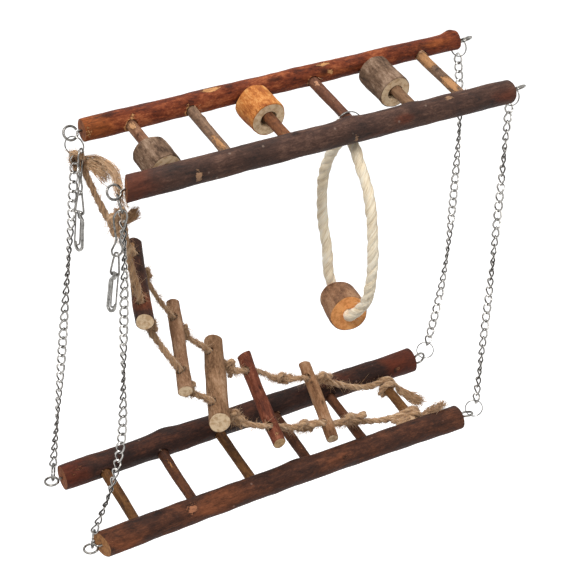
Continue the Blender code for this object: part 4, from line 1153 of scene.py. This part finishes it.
def chain_places(side, end):
    """Knuckles of a chain: the straight run between its rings plus three sine arches of slack."""
    inside = SPLIT_RADIUS - SPLIT_WIRE / 2 - GAP - CHAIN_WIRE / 2
    top, _, down = split_ring("upper", side, end)
    foot, _, up = split_ring("lower", side, end)
    start = top + down * inside
    run = foot + up * inside - start
    count = round(float(np.linalg.norm(run)) / CHAIN_PITCH)
    along = unit(run)
    right = square_to(X_AXIS, along)
    quarter, half, three_quarters = CHAIN_BOW[f"{side}_{end}"]
    both = (quarter + three_quarters) / math.sqrt(2)
    arches = ((both + half) / 2, (quarter - three_quarters) / 2, (both - half) / 2)
    t = np.linspace(0, 1, count + 1)[:, None]
    bow = sum(arch * np.sin(n * math.pi * t) for n, arch in enumerate(arches, 1))
    return start + run * t + right * bow, along


def build_chain(side, end):
    """Curb chain.  A link is an oval, twisted an eighth of a turn at each end so that neighbours that
    lie nearly flat still cross square; the chain as a whole winds by a few half turns."""
    places, along = chain_places(side, end)
    count = len(places) - 1
    first = square_to(split_ring("upper", side, end)[1], along)
    last = square_to(split_ring("lower", side, end)[1], along)
    twist = math.pi / 4
    wanted = math.atan2(np.dot(np.cross(first, last), along), np.dot(first, last)) - 2 * twist
    wanted = (wanted + math.pi / 2) % math.pi - math.pi / 2 + math.pi * CHAIN_HALF_TURNS[f"{side}_{end}"]
    angle = np.linspace(0, TAU, 20, endpoint=False)
    half_wide = (CHAIN_WIDTH - CHAIN_WIRE) / 2 + CHAIN_WIDER
    links = []
    for number in range(count):
        near, far = places[number], places[number + 1]
        way = unit(far - near)
        half_long = np.linalg.norm(far - near) / 2 + CHAIN_WIRE / 2
        lie = square_to(turned(first, along, twist + wanted * number / (count - 1)), way)
        third = np.cross(way, lie)
        run = half_long * np.cos(angle)
        off = squared_off(np.sin(angle), 0.8) * half_wide
        turn = twist * np.clip(run / half_long, -1, 1)
        path = ((near + far) / 2 + run[:, None] * way + (off * np.cos(turn))[:, None] * lie
                + (off * np.sin(turn))[:, None] * third)
        links.append(wire(path, third, CHAIN_BULK * CHAIN_WIRE, 6, True))
    name = f"chain_{side}_{end}"
    add_piece(f"{name}_links", links, ["chain_nickel"], name, [name])


# Rollers and sisal loop

ROLLER_LOOKS = {    # seed, bark, unevenness, how singed its rims are
    "roller_left": (41, "grey_log", 0.4 * MM, 0.0),
    "roller_middle": (42, "orange_log", 0.6 * MM, 0.5),
    "roller_right": (43, "grey_log", 0.4 * MM, 0.0),
}


def build_roller(name):
    """A loose bored log that hangs on its rung by the top of its bore."""
    number, place, diameter, bore, length = ROLLERS[name]
    seed, finish, lump, singed = ROLLER_LOOKS[name]
    drop = bore / 2 - RUNG_DIAMETER / 2 - GAP
    centre = on_ladder("upper", rung_x("upper", number), place, -drop)
    log = bored_log(centre, RUNG_WAY, X_AXIS, diameter, bore, length, seed, lump, singed=singed)
    add_piece(f"{name}_log", [log], [finish, "cream_end"], name, [name])


def loop_hang():
    """Point of the upper rung that the sisal loop's ring hangs on."""
    return on_ladder("upper", rung_x("upper", LOOP_RUNG), LOOP_PLACE)


def bead_frame():
    """Middle of the bead and its axis, which dips and turns from straight to the front."""
    rear, rise = BEAD_FROM_HANG
    level = math.cos(BEAD_DIP)
    axis = np.array((-math.sin(BEAD_TURN) * level, -math.cos(BEAD_TURN) * level, -math.sin(BEAD_DIP)))
    return loop_hang() + np.array((0, rear, rise)), axis


def loop_route():
    """The sisal rope's line, from inside the bead up the rear, over the ring and down the front."""
    ring = loop_hang() + UP * (RUNG_DIAMETER / 2 + LOOP_RING_WIRE / 2 + GAP - LOOP_RING_RADIUS)
    top = ring - UP * (LOOP_RING_RADIUS - LOOP_RING_WIRE / 2 - GAP - SISAL_DIAMETER / 2)
    middle, axis = bead_frame()
    reach = BEAD_LENGTH / 2 + BEAD_CLEAR
    front = [loop_hang() + np.array((0, rear, up)) * MM for rear, up in LOOP_FRONT]
    rear = [loop_hang() + np.array((0, rear, up)) * MM for rear, up in LOOP_REAR]
    inside = [middle - axis * SISAL_END, middle - axis * reach / 2, middle - axis * reach]
    outside = [middle + axis * reach, middle + axis * reach / 2, middle + axis * SISAL_END]
    return np.array(inside + rear + [top] + front + outside), ring


def build_sisal():
    """The sisal loop, its loose fibres, its split ring and the bead on it."""
    route, ring = loop_route()
    path = smooth(route, 420)
    plies = strands(path, X_AXIS, SISAL_BULK * SISAL_DIAMETER, SISAL_LAY, 31, sides=14, fullness=0.74,
                    uneven=0.03)
    rope = add_piece("sisal_rope", plies, ["sisal"], "sisal_loop", ["sisal_loop"])
    middle, axis = bead_frame()
    loose = fuzz(path[12:-12], X_AXIS, SISAL_DIAMETER, SISAL_FIBRES, SISAL_FIBRE_REACH, 32, SISAL_FIBRE)
    add_piece("sisal_fuzz", loose, ["sisal"], "sisal_loop")
    turns = coil(ring, Y_AXIS, -UP, LOOP_RING_RADIUS, LOOP_RING_WIRE, LOOP_COIL_START)
    add_piece("loop_split_ring", [turns], ["ring_steel"], "sisal_loop", ["loop_ring"])
    log = bored_log(middle, axis, X_AXIS, BEAD_BULK * BEAD_DIAMETER, SISAL_DIAMETER + 2 * ROPE_PLAY,
                    BEAD_LENGTH, 33, 0.5 * MM, peels=BEAD_PEELS, flare=BEAD_FLARE)
    add_piece("bead_log", [log], ["bead_log", "orange_end"], "bead", ["bead"])


# Rope bridge

def step_frame(number):
    """Middle of a step, its axis (turned by its yaw and dip from straight to the front), length, diameter."""
    middle, yaw, dip, length, diameter = STEPS[number][:5]
    yaw, dip = math.radians(yaw), math.radians(dip)
    axis = np.array((-math.sin(yaw) * math.cos(dip), -math.cos(yaw) * math.cos(dip), -math.sin(dip)))
    return np.array(middle) * MM - UP * LOWER_DROP, axis, length * MM, diameter * MM


def tie_point(side):
    """Point of the last lower rung that a rope is tied round."""
    return on_ladder("lower", rung_x("lower", RUNG_COUNT - 1), SIDES[side] * TIE_PLACE)


def rope_start(side):
    """Where a bridge rope's run begins, beside its split ring."""
    return ring_far_point("upper", side, "left") + np.array(ROPE_STARTS[side])


def bridge_stops(side):
    """Where a rope crosses each step, its direction there and the step's radius."""
    holes = []
    for number in range(len(STEPS)):
        middle, axis, _, diameter = step_frame(number)
        holes.append((middle - axis * (SIDES[side] * STEPS[number][5] * MM / 2), axis, diameter / 2))
    places = [rope_start(side)] + [hole for hole, _, _ in holes] + [tie_point(side)]
    stops = []
    for number, (hole, axis, radius) in enumerate(holes):
        run = places[number + 2] - places[number]
        run = run - UP * (ROPE_DIP * np.linalg.norm(run))
        stops.append((hole, square_to(run, axis), radius))
    return stops


STEP_LOOKS = (      # peeled spots, knots, bow, thickness at each end, cut slants, end finish
    (((-25, 320, 6, 4, 1.0), (2, 330, 12, 2.4, 0.8), (-6, 300, 6, 1.6, 0.55)), ((-8, 250, 7, 3, 0.3),),
     (0.5 * MM, 0.8 * MM), (0.92, 1.16), ((0.1, 0), (0.2, 90)), "cream_end"),
    (((10, 280, 8, 1.6, 0.4),), ((22, 250, 3, 2, 0.2),),
     (-0.3 * MM, 0.5 * MM), (1.0, 1.14), ((0.05, 0), (0.2, 90)), "cream_end"),
    ((), ((20, 290, 3, 2, 0.2),),
     (0.3 * MM, -0.4 * MM), (0.99, 1.14), ((0.1, 0), (0.34, 90)), "cream_end"),
    (((31, 270, 2.4, 4, 0.5),), ((-6, 260, 3, 2, 0.3),),
     (0.6 * MM, 0.3 * MM), (1.14, 1.03), ((0.2, 180), (0.4, 90)), "tan_end"),
    (((-8, 270, 6, 1.6, 0.4),), ((4, 260, 3, 1.6, 0.3), (-14, 290, 2, 2, 0.2)),
     (-0.4 * MM, 0.4 * MM), (1.0, 1.0), ((0.1, 0), (0.2, 90)), "cream_end"),
)


def build_step(number):
    """One step: a bark log with a hole through it for each rope, open on both sides."""
    middle, axis, length, diameter = step_frame(number)
    peels, knots, bow, thickness, slants, end_finish = STEP_LOOKS[number]
    holes = []
    for side in SIDES:
        hole, run, _ = bridge_stops(side)[number]
        for way in (run, -run):
            holes.append((hole, way, JUTE_DIAMETER + STEP_HOLE_PLAY, STEP_HOLE_DEPTH, 0.0, 0.0))
    half = axis * (length / 2)
    log = bark_log(middle - half, middle + half, diameter * np.array(thickness), np.cross(axis, UP),
                   50 + number, rows=200, sides=84, lump=0.3 * MM, relief=0.05 * MM, edge=0.6 * MM,
                   knots=knots, peels=peels, blushes=((24, 280, 9, 20, 1.0),), holes=holes, crook=bow,
                   slants=slants)
    name = f"step_{number + 1}"
    add_piece(f"{name}_log", [log], [name, end_finish], name, [name])


# Each knot in mm: from its hole along X and up, its size, the rope in it, the rope of the stretch before it
KNOTS = {
    "rear": ((0.0, -5.0, 1.15, 3.6, 4.7), (-1.5, -3.0, 1.5, 3.8, 3.5), (0.0, -5.0, 2.3, 4.0, 4.4),
             (6.5, -9.5, 2.2, 4.5, 4.2), (-5.0, 1.8, 2.4, 4.4, 4.0)),
    "front": ((0.0, -7.0, 1.4, 3.8, 5.3), (-3.3, -6.0, 1.6, 4.0, 4.8), (1.2, -3.8, 2.0, 4.2, 4.8),
              (6.6, -4.4, 2.75, 5.1, 4.6), (5.8, -0.9, 3.0, 5.1, 4.8)),
}
TOP_KNOTS = {       # mm: the knot under the split ring, then the points the rope hangs through
    "rear": ((-148.0, 33.0, -12.0), (-142.8, 31.0, -30.9), (-138.2, 29.3, -45.8), (-133.2, 27.5, -59.2),
             (-129.0, 25.9, -67.1)),
    "front": ((-145.6, -22.0, -35.0), (-144.2, -19.5, -47.5), (-141.6, -17.5, -68.0)),
}
TOP_KNOT_LOOKS = {  # mm: size of the knot, rope in it, run of its frayed tail
    "rear": (1.5, 3.8, (6, -4, -5)),
    "front": (2.2, 4.6, (12, -3, 6)),
}


def knot_path(centre, way, lean, size):
    """Overhand knot: the open trefoil (t^3 - 3t, t^4 - 4t^2, t^5/5 - 2t), its ends laid along the rope."""
    t = np.linspace(-2.06, 2.06, 110)
    x, y, z = t**3 - 3 * t, t**4 - 4 * t**2, t**5 / 5 - 2 * t
    forward = unit((x[-1] - x[0], 0, z[-1] - z[0]))
    along = x * forward[0] + z * forward[2]
    off = x * forward[2] - z * forward[0]
    way = unit(way)
    lean = square_to(lean, way)
    rise = 0.64 * (y - y[0])
    return centre + size * (along[:, None] * way + rise[:, None] * lean + off[:, None] * np.cross(way, lean))


def knot(centre, way, lean, size, rope, seed):
    """An overhand knot of twisted jute with loose fibres."""
    path = smooth(knot_path(centre, way, lean, size)[::4], 150)
    steady = unit(np.cross(way, lean) + 0.31 * way)
    plies = strands(path, steady, rope, KNOT_LAY, seed, sides=8)
    return plies + fuzz(path, steady, rope, 260, 5.5 * MM, seed + 1)


def build_bridge(side):
    """Jute rope: a sagging stretch from knot to step, a knot hung under each step, a tie on the last rung."""
    stops = bridge_stops(side)
    ahead = [hole for hole, _, _ in stops[1:]] + [tie_point(side)]
    bodies = ["upper_ladder"] + [f"step_{number + 1}" for number in range(len(STEPS))]
    seed = 100 if side == "rear" else 200
    here = np.array(TOP_KNOTS[side][0]) * MM
    leaving = None
    for number, (hole, run, radius) in enumerate(stops):
        along, up, size, knot_rope, rope = np.array(KNOTS[side][number]) * MM
        to_knot = radius + (STEPS[number][6] * MM + 0.6 * KNOT_LENGTH)
        inlet = hole - run * (radius + ROPE_INLET)
        outlet = hole + run * (radius + 0.5 * MM)
        centre = hole + run * to_knot + (X_AXIS * along + UP * up)
        fall = unit(centre - outlet)
        if number == 0:
            hanging = smooth(np.vstack([np.array(TOP_KNOTS[side]) * MM, inlet]), 40)
        else:
            hanging = bend(here, leaving, inlet, run, 30)
        through = evenly(np.array((inlet, outlet)), 12)
        path = evenly(np.vstack([hanging, through[1:], bend(outlet, run, centre, fall, 14)[1:]]), 130)
        lean = np.cross(run, (0.0, 1.0, 0.3))
        shells = strands(path, lean, rope, JUTE_LAY, seed + number, sides=9)
        shells += fuzz(path, lean, rope, 380, 5.4 * MM, seed + 20 + number)
        stretch = add_piece(f"jute_{side}_{number + 1}", shells, ["jute"], None)
        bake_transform(stretch)
        if number == 0:
            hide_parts(f"rope_{side}")
        across = np.cross(fall, step_frame(number)[1])
        knotted = knot(centre, fall, across, size, knot_rope, seed + 40 + number)
        add_piece(f"jute_knot_{side}_{number + 1}", knotted, ["jute"], bodies[number + 1])
        here = centre
        droop = KNOT_DROOP if number + 1 < len(stops) else 0.0
        leaving = unit(unit(ahead[number] - here) - droop * UP)
    build_tie(side, here, leaving, seed + 60)
    build_top_knot(side, seed + 80)


TIES = {            # mm: slide to the front, drift of the turns, knot before the rung, tail's run
    "rear": (0.0, -5.6, None, (19, -9, -17)),
    "front": (2.4, -4.6, (-8.6, -1.0, 3.4), (13, -7, 5)),
}


def build_tie(side, here, leaving, seed):
    """The rope's end: over the last rung and round it, then a frayed tail to the right."""
    slide, drift, before, run = TIES[side]
    run = np.array(run) * MM
    reach = (RUNG_DIAMETER + JUTE_DIAMETER) / 2
    rise = unit(np.cross(X_AXIS, RUNG_WAY))
    wound = np.linspace(0, TIE_TURNS, 40)
    angle = TIE_START - TAU * wound
    middle = tie_point(side) - RUNG_WAY * slide * MM
    centre = middle + RUNG_WAY * (drift * MM * (wound - 0.5))[:, None]
    turns = centre + reach * (np.cos(angle)[:, None] * X_AXIS + np.sin(angle)[:, None] * rise)
    arriving = unit(X_AXIS * math.sin(TIE_START) - rise * math.cos(TIE_START))
    last = evenly(np.vstack([bend(here, leaving, turns[0], arriving, 40), turns[1:4]]), 90)
    lean = np.cross(unit(last[-1] - last[0]), (0.0, 1.0, 0.3))
    shells = strands(last, lean, TIE_ROPE, JUTE_LAY, seed, sides=9)
    shells += fuzz(last, lean, TIE_ROPE, 240, 5 * MM, seed + 1)
    add_piece(f"jute_{side}_6", shells, ["jute"], "step_5")
    tail = bend(turns[-1], unit(turns[-1] - turns[-2]), turns[-1] + run, unit(run), 40)
    wrap = evenly(np.vstack([turns, tail[1:14]]), 120)
    shells = strands(wrap, RUNG_WAY, TIE_ROPE, JUTE_LAY, seed + 2, sides=9)
    shells += fuzz(wrap, RUNG_WAY, TIE_ROPE, 200, 5 * MM, seed + 3)
    shells += hank(evenly(tail[6:], 14), RUNG_WAY, (5, 10), (4.4, 7), 190, seed + 4, 0.5, 1.9)
    if before:
        shells += knot(middle + np.array(before) * MM, X_AXIS, RUNG_WAY, 2.1 * MM, 4.4 * MM, seed + 5)
        tip = tail[-1] + np.array((3, 1, 5)) * MM
        curl = bend(tail[-14], unit(run + UP * 2 * MM), tip, unit(UP - 0.8 * X_AXIS), 14)
        shells += hank(curl, RUNG_WAY, (4, 8), (3, 4), 80, seed + 6, 0.5, 1.4)
    add_piece(f"jute_tie_{side}", shells, ["jute"], "lower_ladder")


def build_top_knot(side, seed):
    """The rope's first knot, its bight up to the split ring and round it, and a frayed tail."""
    size, rope, reach = TOP_KNOT_LOOKS[side]
    ring = ring_far_point("upper", side, "left")
    tied, next_point = np.array(TOP_KNOTS[side][:2]) * MM
    way = unit(next_point - tied)
    shells = knot(tied, way, np.cross(way, RUNG_WAY), size * MM, rope * MM, seed)
    over = unit(tied - ring)
    normal = split_ring("upper", side, "left")[1]
    aside = unit(np.cross(over, normal))
    halfway = (tied + ring) / 2
    bight = smooth((tied + aside * 2 * MM, halfway + aside * 3 * MM, ring + aside * 2.4 * MM - over * MM,
                    ring - over * 3 * MM, ring - aside * 2.4 * MM - over * MM, halfway - aside * 3 * MM,
                    tied - aside * 2 * MM), 100)
    shells += strands(bight, normal, BIGHT_ROPE, KNOT_LAY, seed + 1, sides=8)
    shells += fuzz(bight, aside, BIGHT_ROPE, 200, 5 * MM, seed + 2)
    reach = np.array(reach) * MM
    tail = bend(tied, X_AXIS, tied + reach, unit(reach - UP * 5 * MM), 14)
    shells += hank(tail, UP, (4, 9), (3, 4), 110, seed + 3, 0.42, 1.0)
    if side == "front":
        reach = np.array((-5, 2, 8)) * MM
        tuft = bend(tied + UP * 3 * MM, UP, tied + reach, unit(reach - 4 * MM * X_AXIS - 6 * MM * UP), 14)
        shells += hank(tuft, X_AXIS, (3, 6), (2.4, 3), 70, seed + 4, 0.42, 1.0)
    add_piece(f"jute_top_knot_{side}", shells, ["jute"], "upper_ladder")


FRAY_ROUTES = (     # mm: the loosened rope from the rear top knot to the front one, and the tuft under it
    ((-147.5, 33, -13), (-142.2, 28, -10.4), (-140.6, 18, -8.4), (-140.0, 6, -8.0), (-140.8, -6, -8.6),
     (-144.0, -17, -9.6), (-147.0, -25.5, -12.0), (-147.8, -31.0, -17.0), (-148.8, -33.0, -25.0)),
    ((-144.5, 30, -13), (-142.5, 22, -14), (-141.5, 13, -16), (-141.5, 4, -17)),
)


def build_fray():
    """A loosened length of rope between the two top knots: fibres side by side in a flat arching band,
    and a shorter tuft below it."""
    band, tuft = (smooth(np.array(route) * MM, 16) for route in FRAY_ROUTES)
    lean = UP + 0.3 * X_AXIS
    shells = hank(band, lean, (6.5, 4.5), (2.0, 2.6), 90, 91, 0.42, 1.6)
    shells += hank(tuft, lean, (5, 10), (3, 5), 100, 93, 0.42, 1.6)
    shells += fuzz(band, UP, 6 * MM, 200, 7 * MM, 92)
    add_piece("jute_fray", shells, ["jute"], "upper_ladder")


# Snap clips

def clip_frame(side):
    """Top of the hourglass link and its sideways and down directions."""
    middle, normal, pull = split_ring("upper", side, "left")
    along = CLIP_ALONG_RING[side]
    on_wire = middle + (pull * math.cos(along) + np.cross(normal, pull) * math.sin(along)) * SPLIT_RADIUS
    clear = SPLIT_WIRE / 2 / math.cos(along) + CLIP_WIRE / 2 * (1 + abs(math.tan(along))) + RING_PLAY
    left, front = CLIP_LEAN[side]

    def leant(vector):
        """A direction after the clip's lean to the front and then to the left."""
        return turned(turned(vector, X_AXIS, -front), Y_AXIS, left)

    return on_wire + UP * clear + normal * CLIP_OFF_RING[side], leant(normal), leant(-UP)


def other_side(half):
    """The mirrored half of an outline, in the order that carries on from its first half."""
    return [(-wide, deep) for wide, deep in half[::-1]]


def build_clip_link(side, top, across, down):
    """Hourglass link: one closed round wire through half an outline and its mirror."""
    half = [(0.0, 0.0), (0.62 * CLIP_LINK_TOP, 0.03 * CLIP_LINK_HEIGHT),
            (CLIP_LINK_TOP, 0.13 * CLIP_LINK_HEIGHT), (0.93 * CLIP_LINK_TOP, 0.25 * CLIP_LINK_HEIGHT),
            (0.6 * CLIP_LINK_TOP, 0.45 * CLIP_LINK_HEIGHT), (CLIP_LINK_WAIST, 0.66 * CLIP_LINK_HEIGHT),
            (0.75 * CLIP_LINK_FOOT, 0.78 * CLIP_LINK_HEIGHT), (CLIP_LINK_FOOT, 0.87 * CLIP_LINK_HEIGHT),
            (0.7 * CLIP_LINK_FOOT, 0.965 * CLIP_LINK_HEIGHT), (0.0, CLIP_LINK_HEIGHT)]
    points = laid(top, half + other_side(half[1:-1]), across, down)
    link = wire(smooth(points, 160, True), np.cross(across, down), CLIP_WIRE, 10, True)
    add_piece(f"clip_{side}_wire_link", [link], ["nickel"], f"clip_{side}_link", [f"clip_{side}_link"])


def build_clip_bail(side, top, across, down, face):
    """Wire bail: half an outline and its mirror, both ends in the hook's head, a spring coil beside each."""
    half = [(-0.4 * MM, BAIL_HEIGHT), (-BAIL_FOOT + 0.5 * MM, BAIL_HEIGHT), (-BAIL_FOOT, 0.93 * BAIL_HEIGHT),
            (-0.97 * BAIL_FOOT, 0.8 * BAIL_HEIGHT), (-BAIL_TOP, 0.12 * BAIL_HEIGHT), (-0.6 * BAIL_TOP, 0.0)]
    points = laid(top, half + other_side(half), across, down)
    shells = [wire(smooth(points, 110), face, CLIP_WIRE)]
    angle = np.linspace(0, 2.6 * TAU, 60)[:, None]
    for sign in (-1, 1):
        spring = (top + down * BAIL_HEIGHT + across * sign * (1.9 * MM + 0.55 * MM * angle / TAU)
                  + 0.95 * MM * (np.cos(angle) * down + np.sin(angle) * face))
        shells.append(wire(spring, across, 0.6 * MM, 7))
    add_piece(f"clip_{side}_wire_bail", shells, ["nickel"], f"clip_{side}_hook", [f"clip_{side}_bail"])


def build_clip_hook(side, crown, across, down, face):
    """Flat hook: a strip from its wide head down one side, round the bottom and up to a narrower tip."""
    off = HOOK_EDGE - HOOK_BAR / 2
    line = [(0.0, 0.8 * MM), (0.0, HOOK_NECK - 0.8 * MM), (-0.5 * off, HOOK_NECK + 0.2 * MM),
            (-off, HOOK_NECK + 2.4 * MM), (-off, HOOK_DEEP * 0.6), (-off, HOOK_DEEP)]
    for angle in np.radians((216, 252, 288, 324, 360)):
        line.append((math.cos(angle) * off, HOOK_DEEP - math.sin(angle) * off))
    line.append((off, HOOK_DEEP - HOOK_TIP + 0.2 * MM))
    path = smooth(laid(crown, line, across, down), 150)
    gone = np.linspace(0, 1, 150)
    taper = 0.35 * np.clip((gone - 0.93) / 0.07, 0, 1)**2
    width = 0.42 * HOOK_BAR * (1 + 0.95 * np.exp(-(gone / 0.13)**4) - taper)
    bar = flat_bar(path, face, width, 0.36 * HOOK_PLATE)
    add_piece(f"clip_{side}_flat_hook", [bar], ["hook_steel"], f"clip_{side}_hook", [f"clip_{side}_hook"])


def build_clip_gate(side, crown, across, down, face):
    """Wire gate: a leg on each side of the hook's plate, from its neck to its tip, joined across the tip."""
    beside = face * (HOOK_PLATE / 2 + GAP + GATE_WIRE / 2)
    bar = HOOK_INNER - GATE_WIRE / 2 - GAP
    out, below = HOOK_WIDTH * HOOK_HEAD / 2 - GATE_WIRE, HOOK_NECK * 0.6
    reach = HOOK_DEEP - HOOK_TIP + 2 * GATE_WIRE
    line = [(out, below), (out * 0.6 + bar * 0.4, (below + reach) / 2), (bar, reach - 1.6 * MM)]
    leg = laid(crown, line, across, down)
    tip = crown + across * bar + down * reach
    points = np.vstack([leg + beside, [tip + beside * 0.6, tip - beside * 0.6], leg[::-1] - beside])
    gate = wire(smooth(points, 110), across, GATE_WIRE, 9)
    add_piece(f"clip_{side}_wire_gate", [gate], ["nickel"], f"clip_{side}_gate", [f"clip_{side}_gate"])


def build_clip(side):
    """Snap clip: a link on the split ring, and on the link's foot a bail that holds hook and gate."""
    top, across, down = clip_frame(side)
    build_clip_link(side, top, across, down)
    hook_across = turned(across, -down, HOOK_TURN[side])
    face = np.cross(hook_across, down)
    bail_top = top + down * CLIP_LINK_HEIGHT - down * (CLIP_WIRE + RING_PLAY)
    crown = bail_top + down * (BAIL_HEIGHT - HOOK_CROWN)
    build_clip_bail(side, bail_top, hook_across, down, face)
    build_clip_hook(side, crown, hook_across, down, face)
    build_clip_gate(side, crown, hook_across, down, face)


def flat_bar(path, face, half_wide, half_thick):
    """A flat strip with rounded corners carried along a path in its plane: a squared-off oval profile."""
    _, across, third = axes_along(path, face)
    angle = np.linspace(0, TAU, 20, endpoint=False)
    flat = squared_off(np.cos(angle), 0.35) * half_thick
    wide = squared_off(np.sin(angle), 0.35)
    points = (path[:, None] + flat[:, None] * across[:, None]
              + (half_wide[:, None] * wide)[..., None] * third[:, None])
    return shell(points)


# Camera, light and floor

SENSOR = 36.0                   # mm
FOCAL_PIXELS = 1600             # the photograph's focal length and width
FRAME_PIXELS = 580
CAMERA_PLACE = (-0.49035, -0.873701, 0.371396)
CAMERA_AXES = (                 # to the right, up and back
    (0.866693, -0.496502, -0.048268),
    (0.26129, 0.369414, 0.891774),
    (-0.424936, -0.785506, 0.449899),
)
LAMPS = {                       # place, aim, size, power
    "key": ((-0.9, -0.9, 1.5), (-0.02, 0, -0.1), 0.9, 34),
    "fill": ((1.2, -0.9, 0.5), (-0.02, 0, -0.12), 1.0, 7),
    "top": ((0.1, 0.5, 1.4), (-0.02, 0, -0.1), 1.2, 13),
}
WHITE = (1.0, 1.0, 1.0, 1.0)
FLOOR_GREY = (0.55, 0.55, 0.55, 1.0)
FLOOR_BELOW = 0.42
FLOOR_REACH = 9
FLOOR_GLOW = 0.9
SKY_LIGHT = 0.26                # the sky's strength on the object, where it is seen as 1


def stand(item, right, rise, back, place):
    """Puts a camera or lamp in the scene: its own axes, then its place."""
    item.matrix_world = Matrix([[right[k], rise[k], back[k], place[k]] for k in range(3)] + [[0, 0, 0, 1]])
    bpy.context.scene.collection.objects.link(item)


def build_camera():
    """The photograph's view: the lens is the sensor times focal length over width, both in pixels."""
    data = bpy.data.cameras.new("view")
    data.sensor_width = SENSOR
    data.lens = SENSOR * FOCAL_PIXELS / FRAME_PIXELS
    data.clip_end = 50
    camera = bpy.data.objects.new("view", data)
    stand(camera, *CAMERA_AXES, CAMERA_PLACE)
    bpy.context.scene.camera = camera


def add_lamp(name, place, aim, size, power):
    """A round lamp that faces its aim."""
    data = bpy.data.lights.new(name, "AREA")
    data.shape = "DISK"
    data.size = size
    data.energy = power
    back = unit(np.array(place) - np.array(aim))
    right = unit(np.cross(UP, back))
    stand(bpy.data.objects.new(name, data), right, np.cross(back, right), back, place)


def build_stage():
    """White room: a wide pale floor far below the hanging object, soft lamps and an even sky."""
    scene = bpy.context.scene
    scene.world = bpy.data.worlds.new("studio")
    scene.world.use_nodes = True
    sky = Nodes(scene.world.node_tree)
    backdrop = sky.tree.nodes["Background"].inputs
    sky.feed(backdrop["Color"], WHITE)
    sky.feed(backdrop["Strength"], sky.span(sky.seen_directly(), 0.0, 1.0, SKY_LIGHT, 1.0, soft=False))
    for name, lamp in LAMPS.items():
        add_lamp(name, *lamp)
    low = cad_box[0][2] - FLOOR_BELOW
    corners = [(x * FLOOR_REACH, y * FLOOR_REACH, low) for x, y in ((-1, -1), (1, -1), (1, 1), (-1, 1))]
    mesh = bpy.data.meshes.new("floor")
    mesh.from_pydata(corners, [], [(0, 1, 2, 3)])
    floor = bpy.data.objects.new("floor", mesh)
    scene.collection.objects.link(floor)
    look = Finish("floor_white")
    glow = look.times(look.seen_directly(), FLOOR_GLOW)
    mesh.materials.append(look.put(Base_Color=FLOOR_GREY, Roughness=0.9, Emission_Color=WHITE,
                                   Emission_Strength=glow))
    scene.view_settings.view_transform = "Standard"


RAILS = [(level, side) for level in LEVELS for side in SIDES]
RUNGS = [(level, number) for level in LEVELS for number in range(RUNG_COUNT)]

build_camera()
build_stage()
build_sisal()
for side in SIDES:
    build_bridge(side)
build_fray()
for number in range(len(STEPS)):
    build_step(number)
for seed, (level, side) in enumerate(RAILS, 3):
    build_rail(level, side, seed)
    build_slivers(level, side, 70 + seed)
for seed, (level, number) in enumerate(RUNGS, 11):
    build_rung(level, number, seed)
for level in LEVELS:
    for side, end in CORNERS:
        build_eye(level, side, end)
        build_split_ring(level, side, end)
for side, end in CORNERS:
    build_chain(side, end)
for name in ROLLERS:
    build_roller(name)
for side in SIDES:
    build_clip(side)
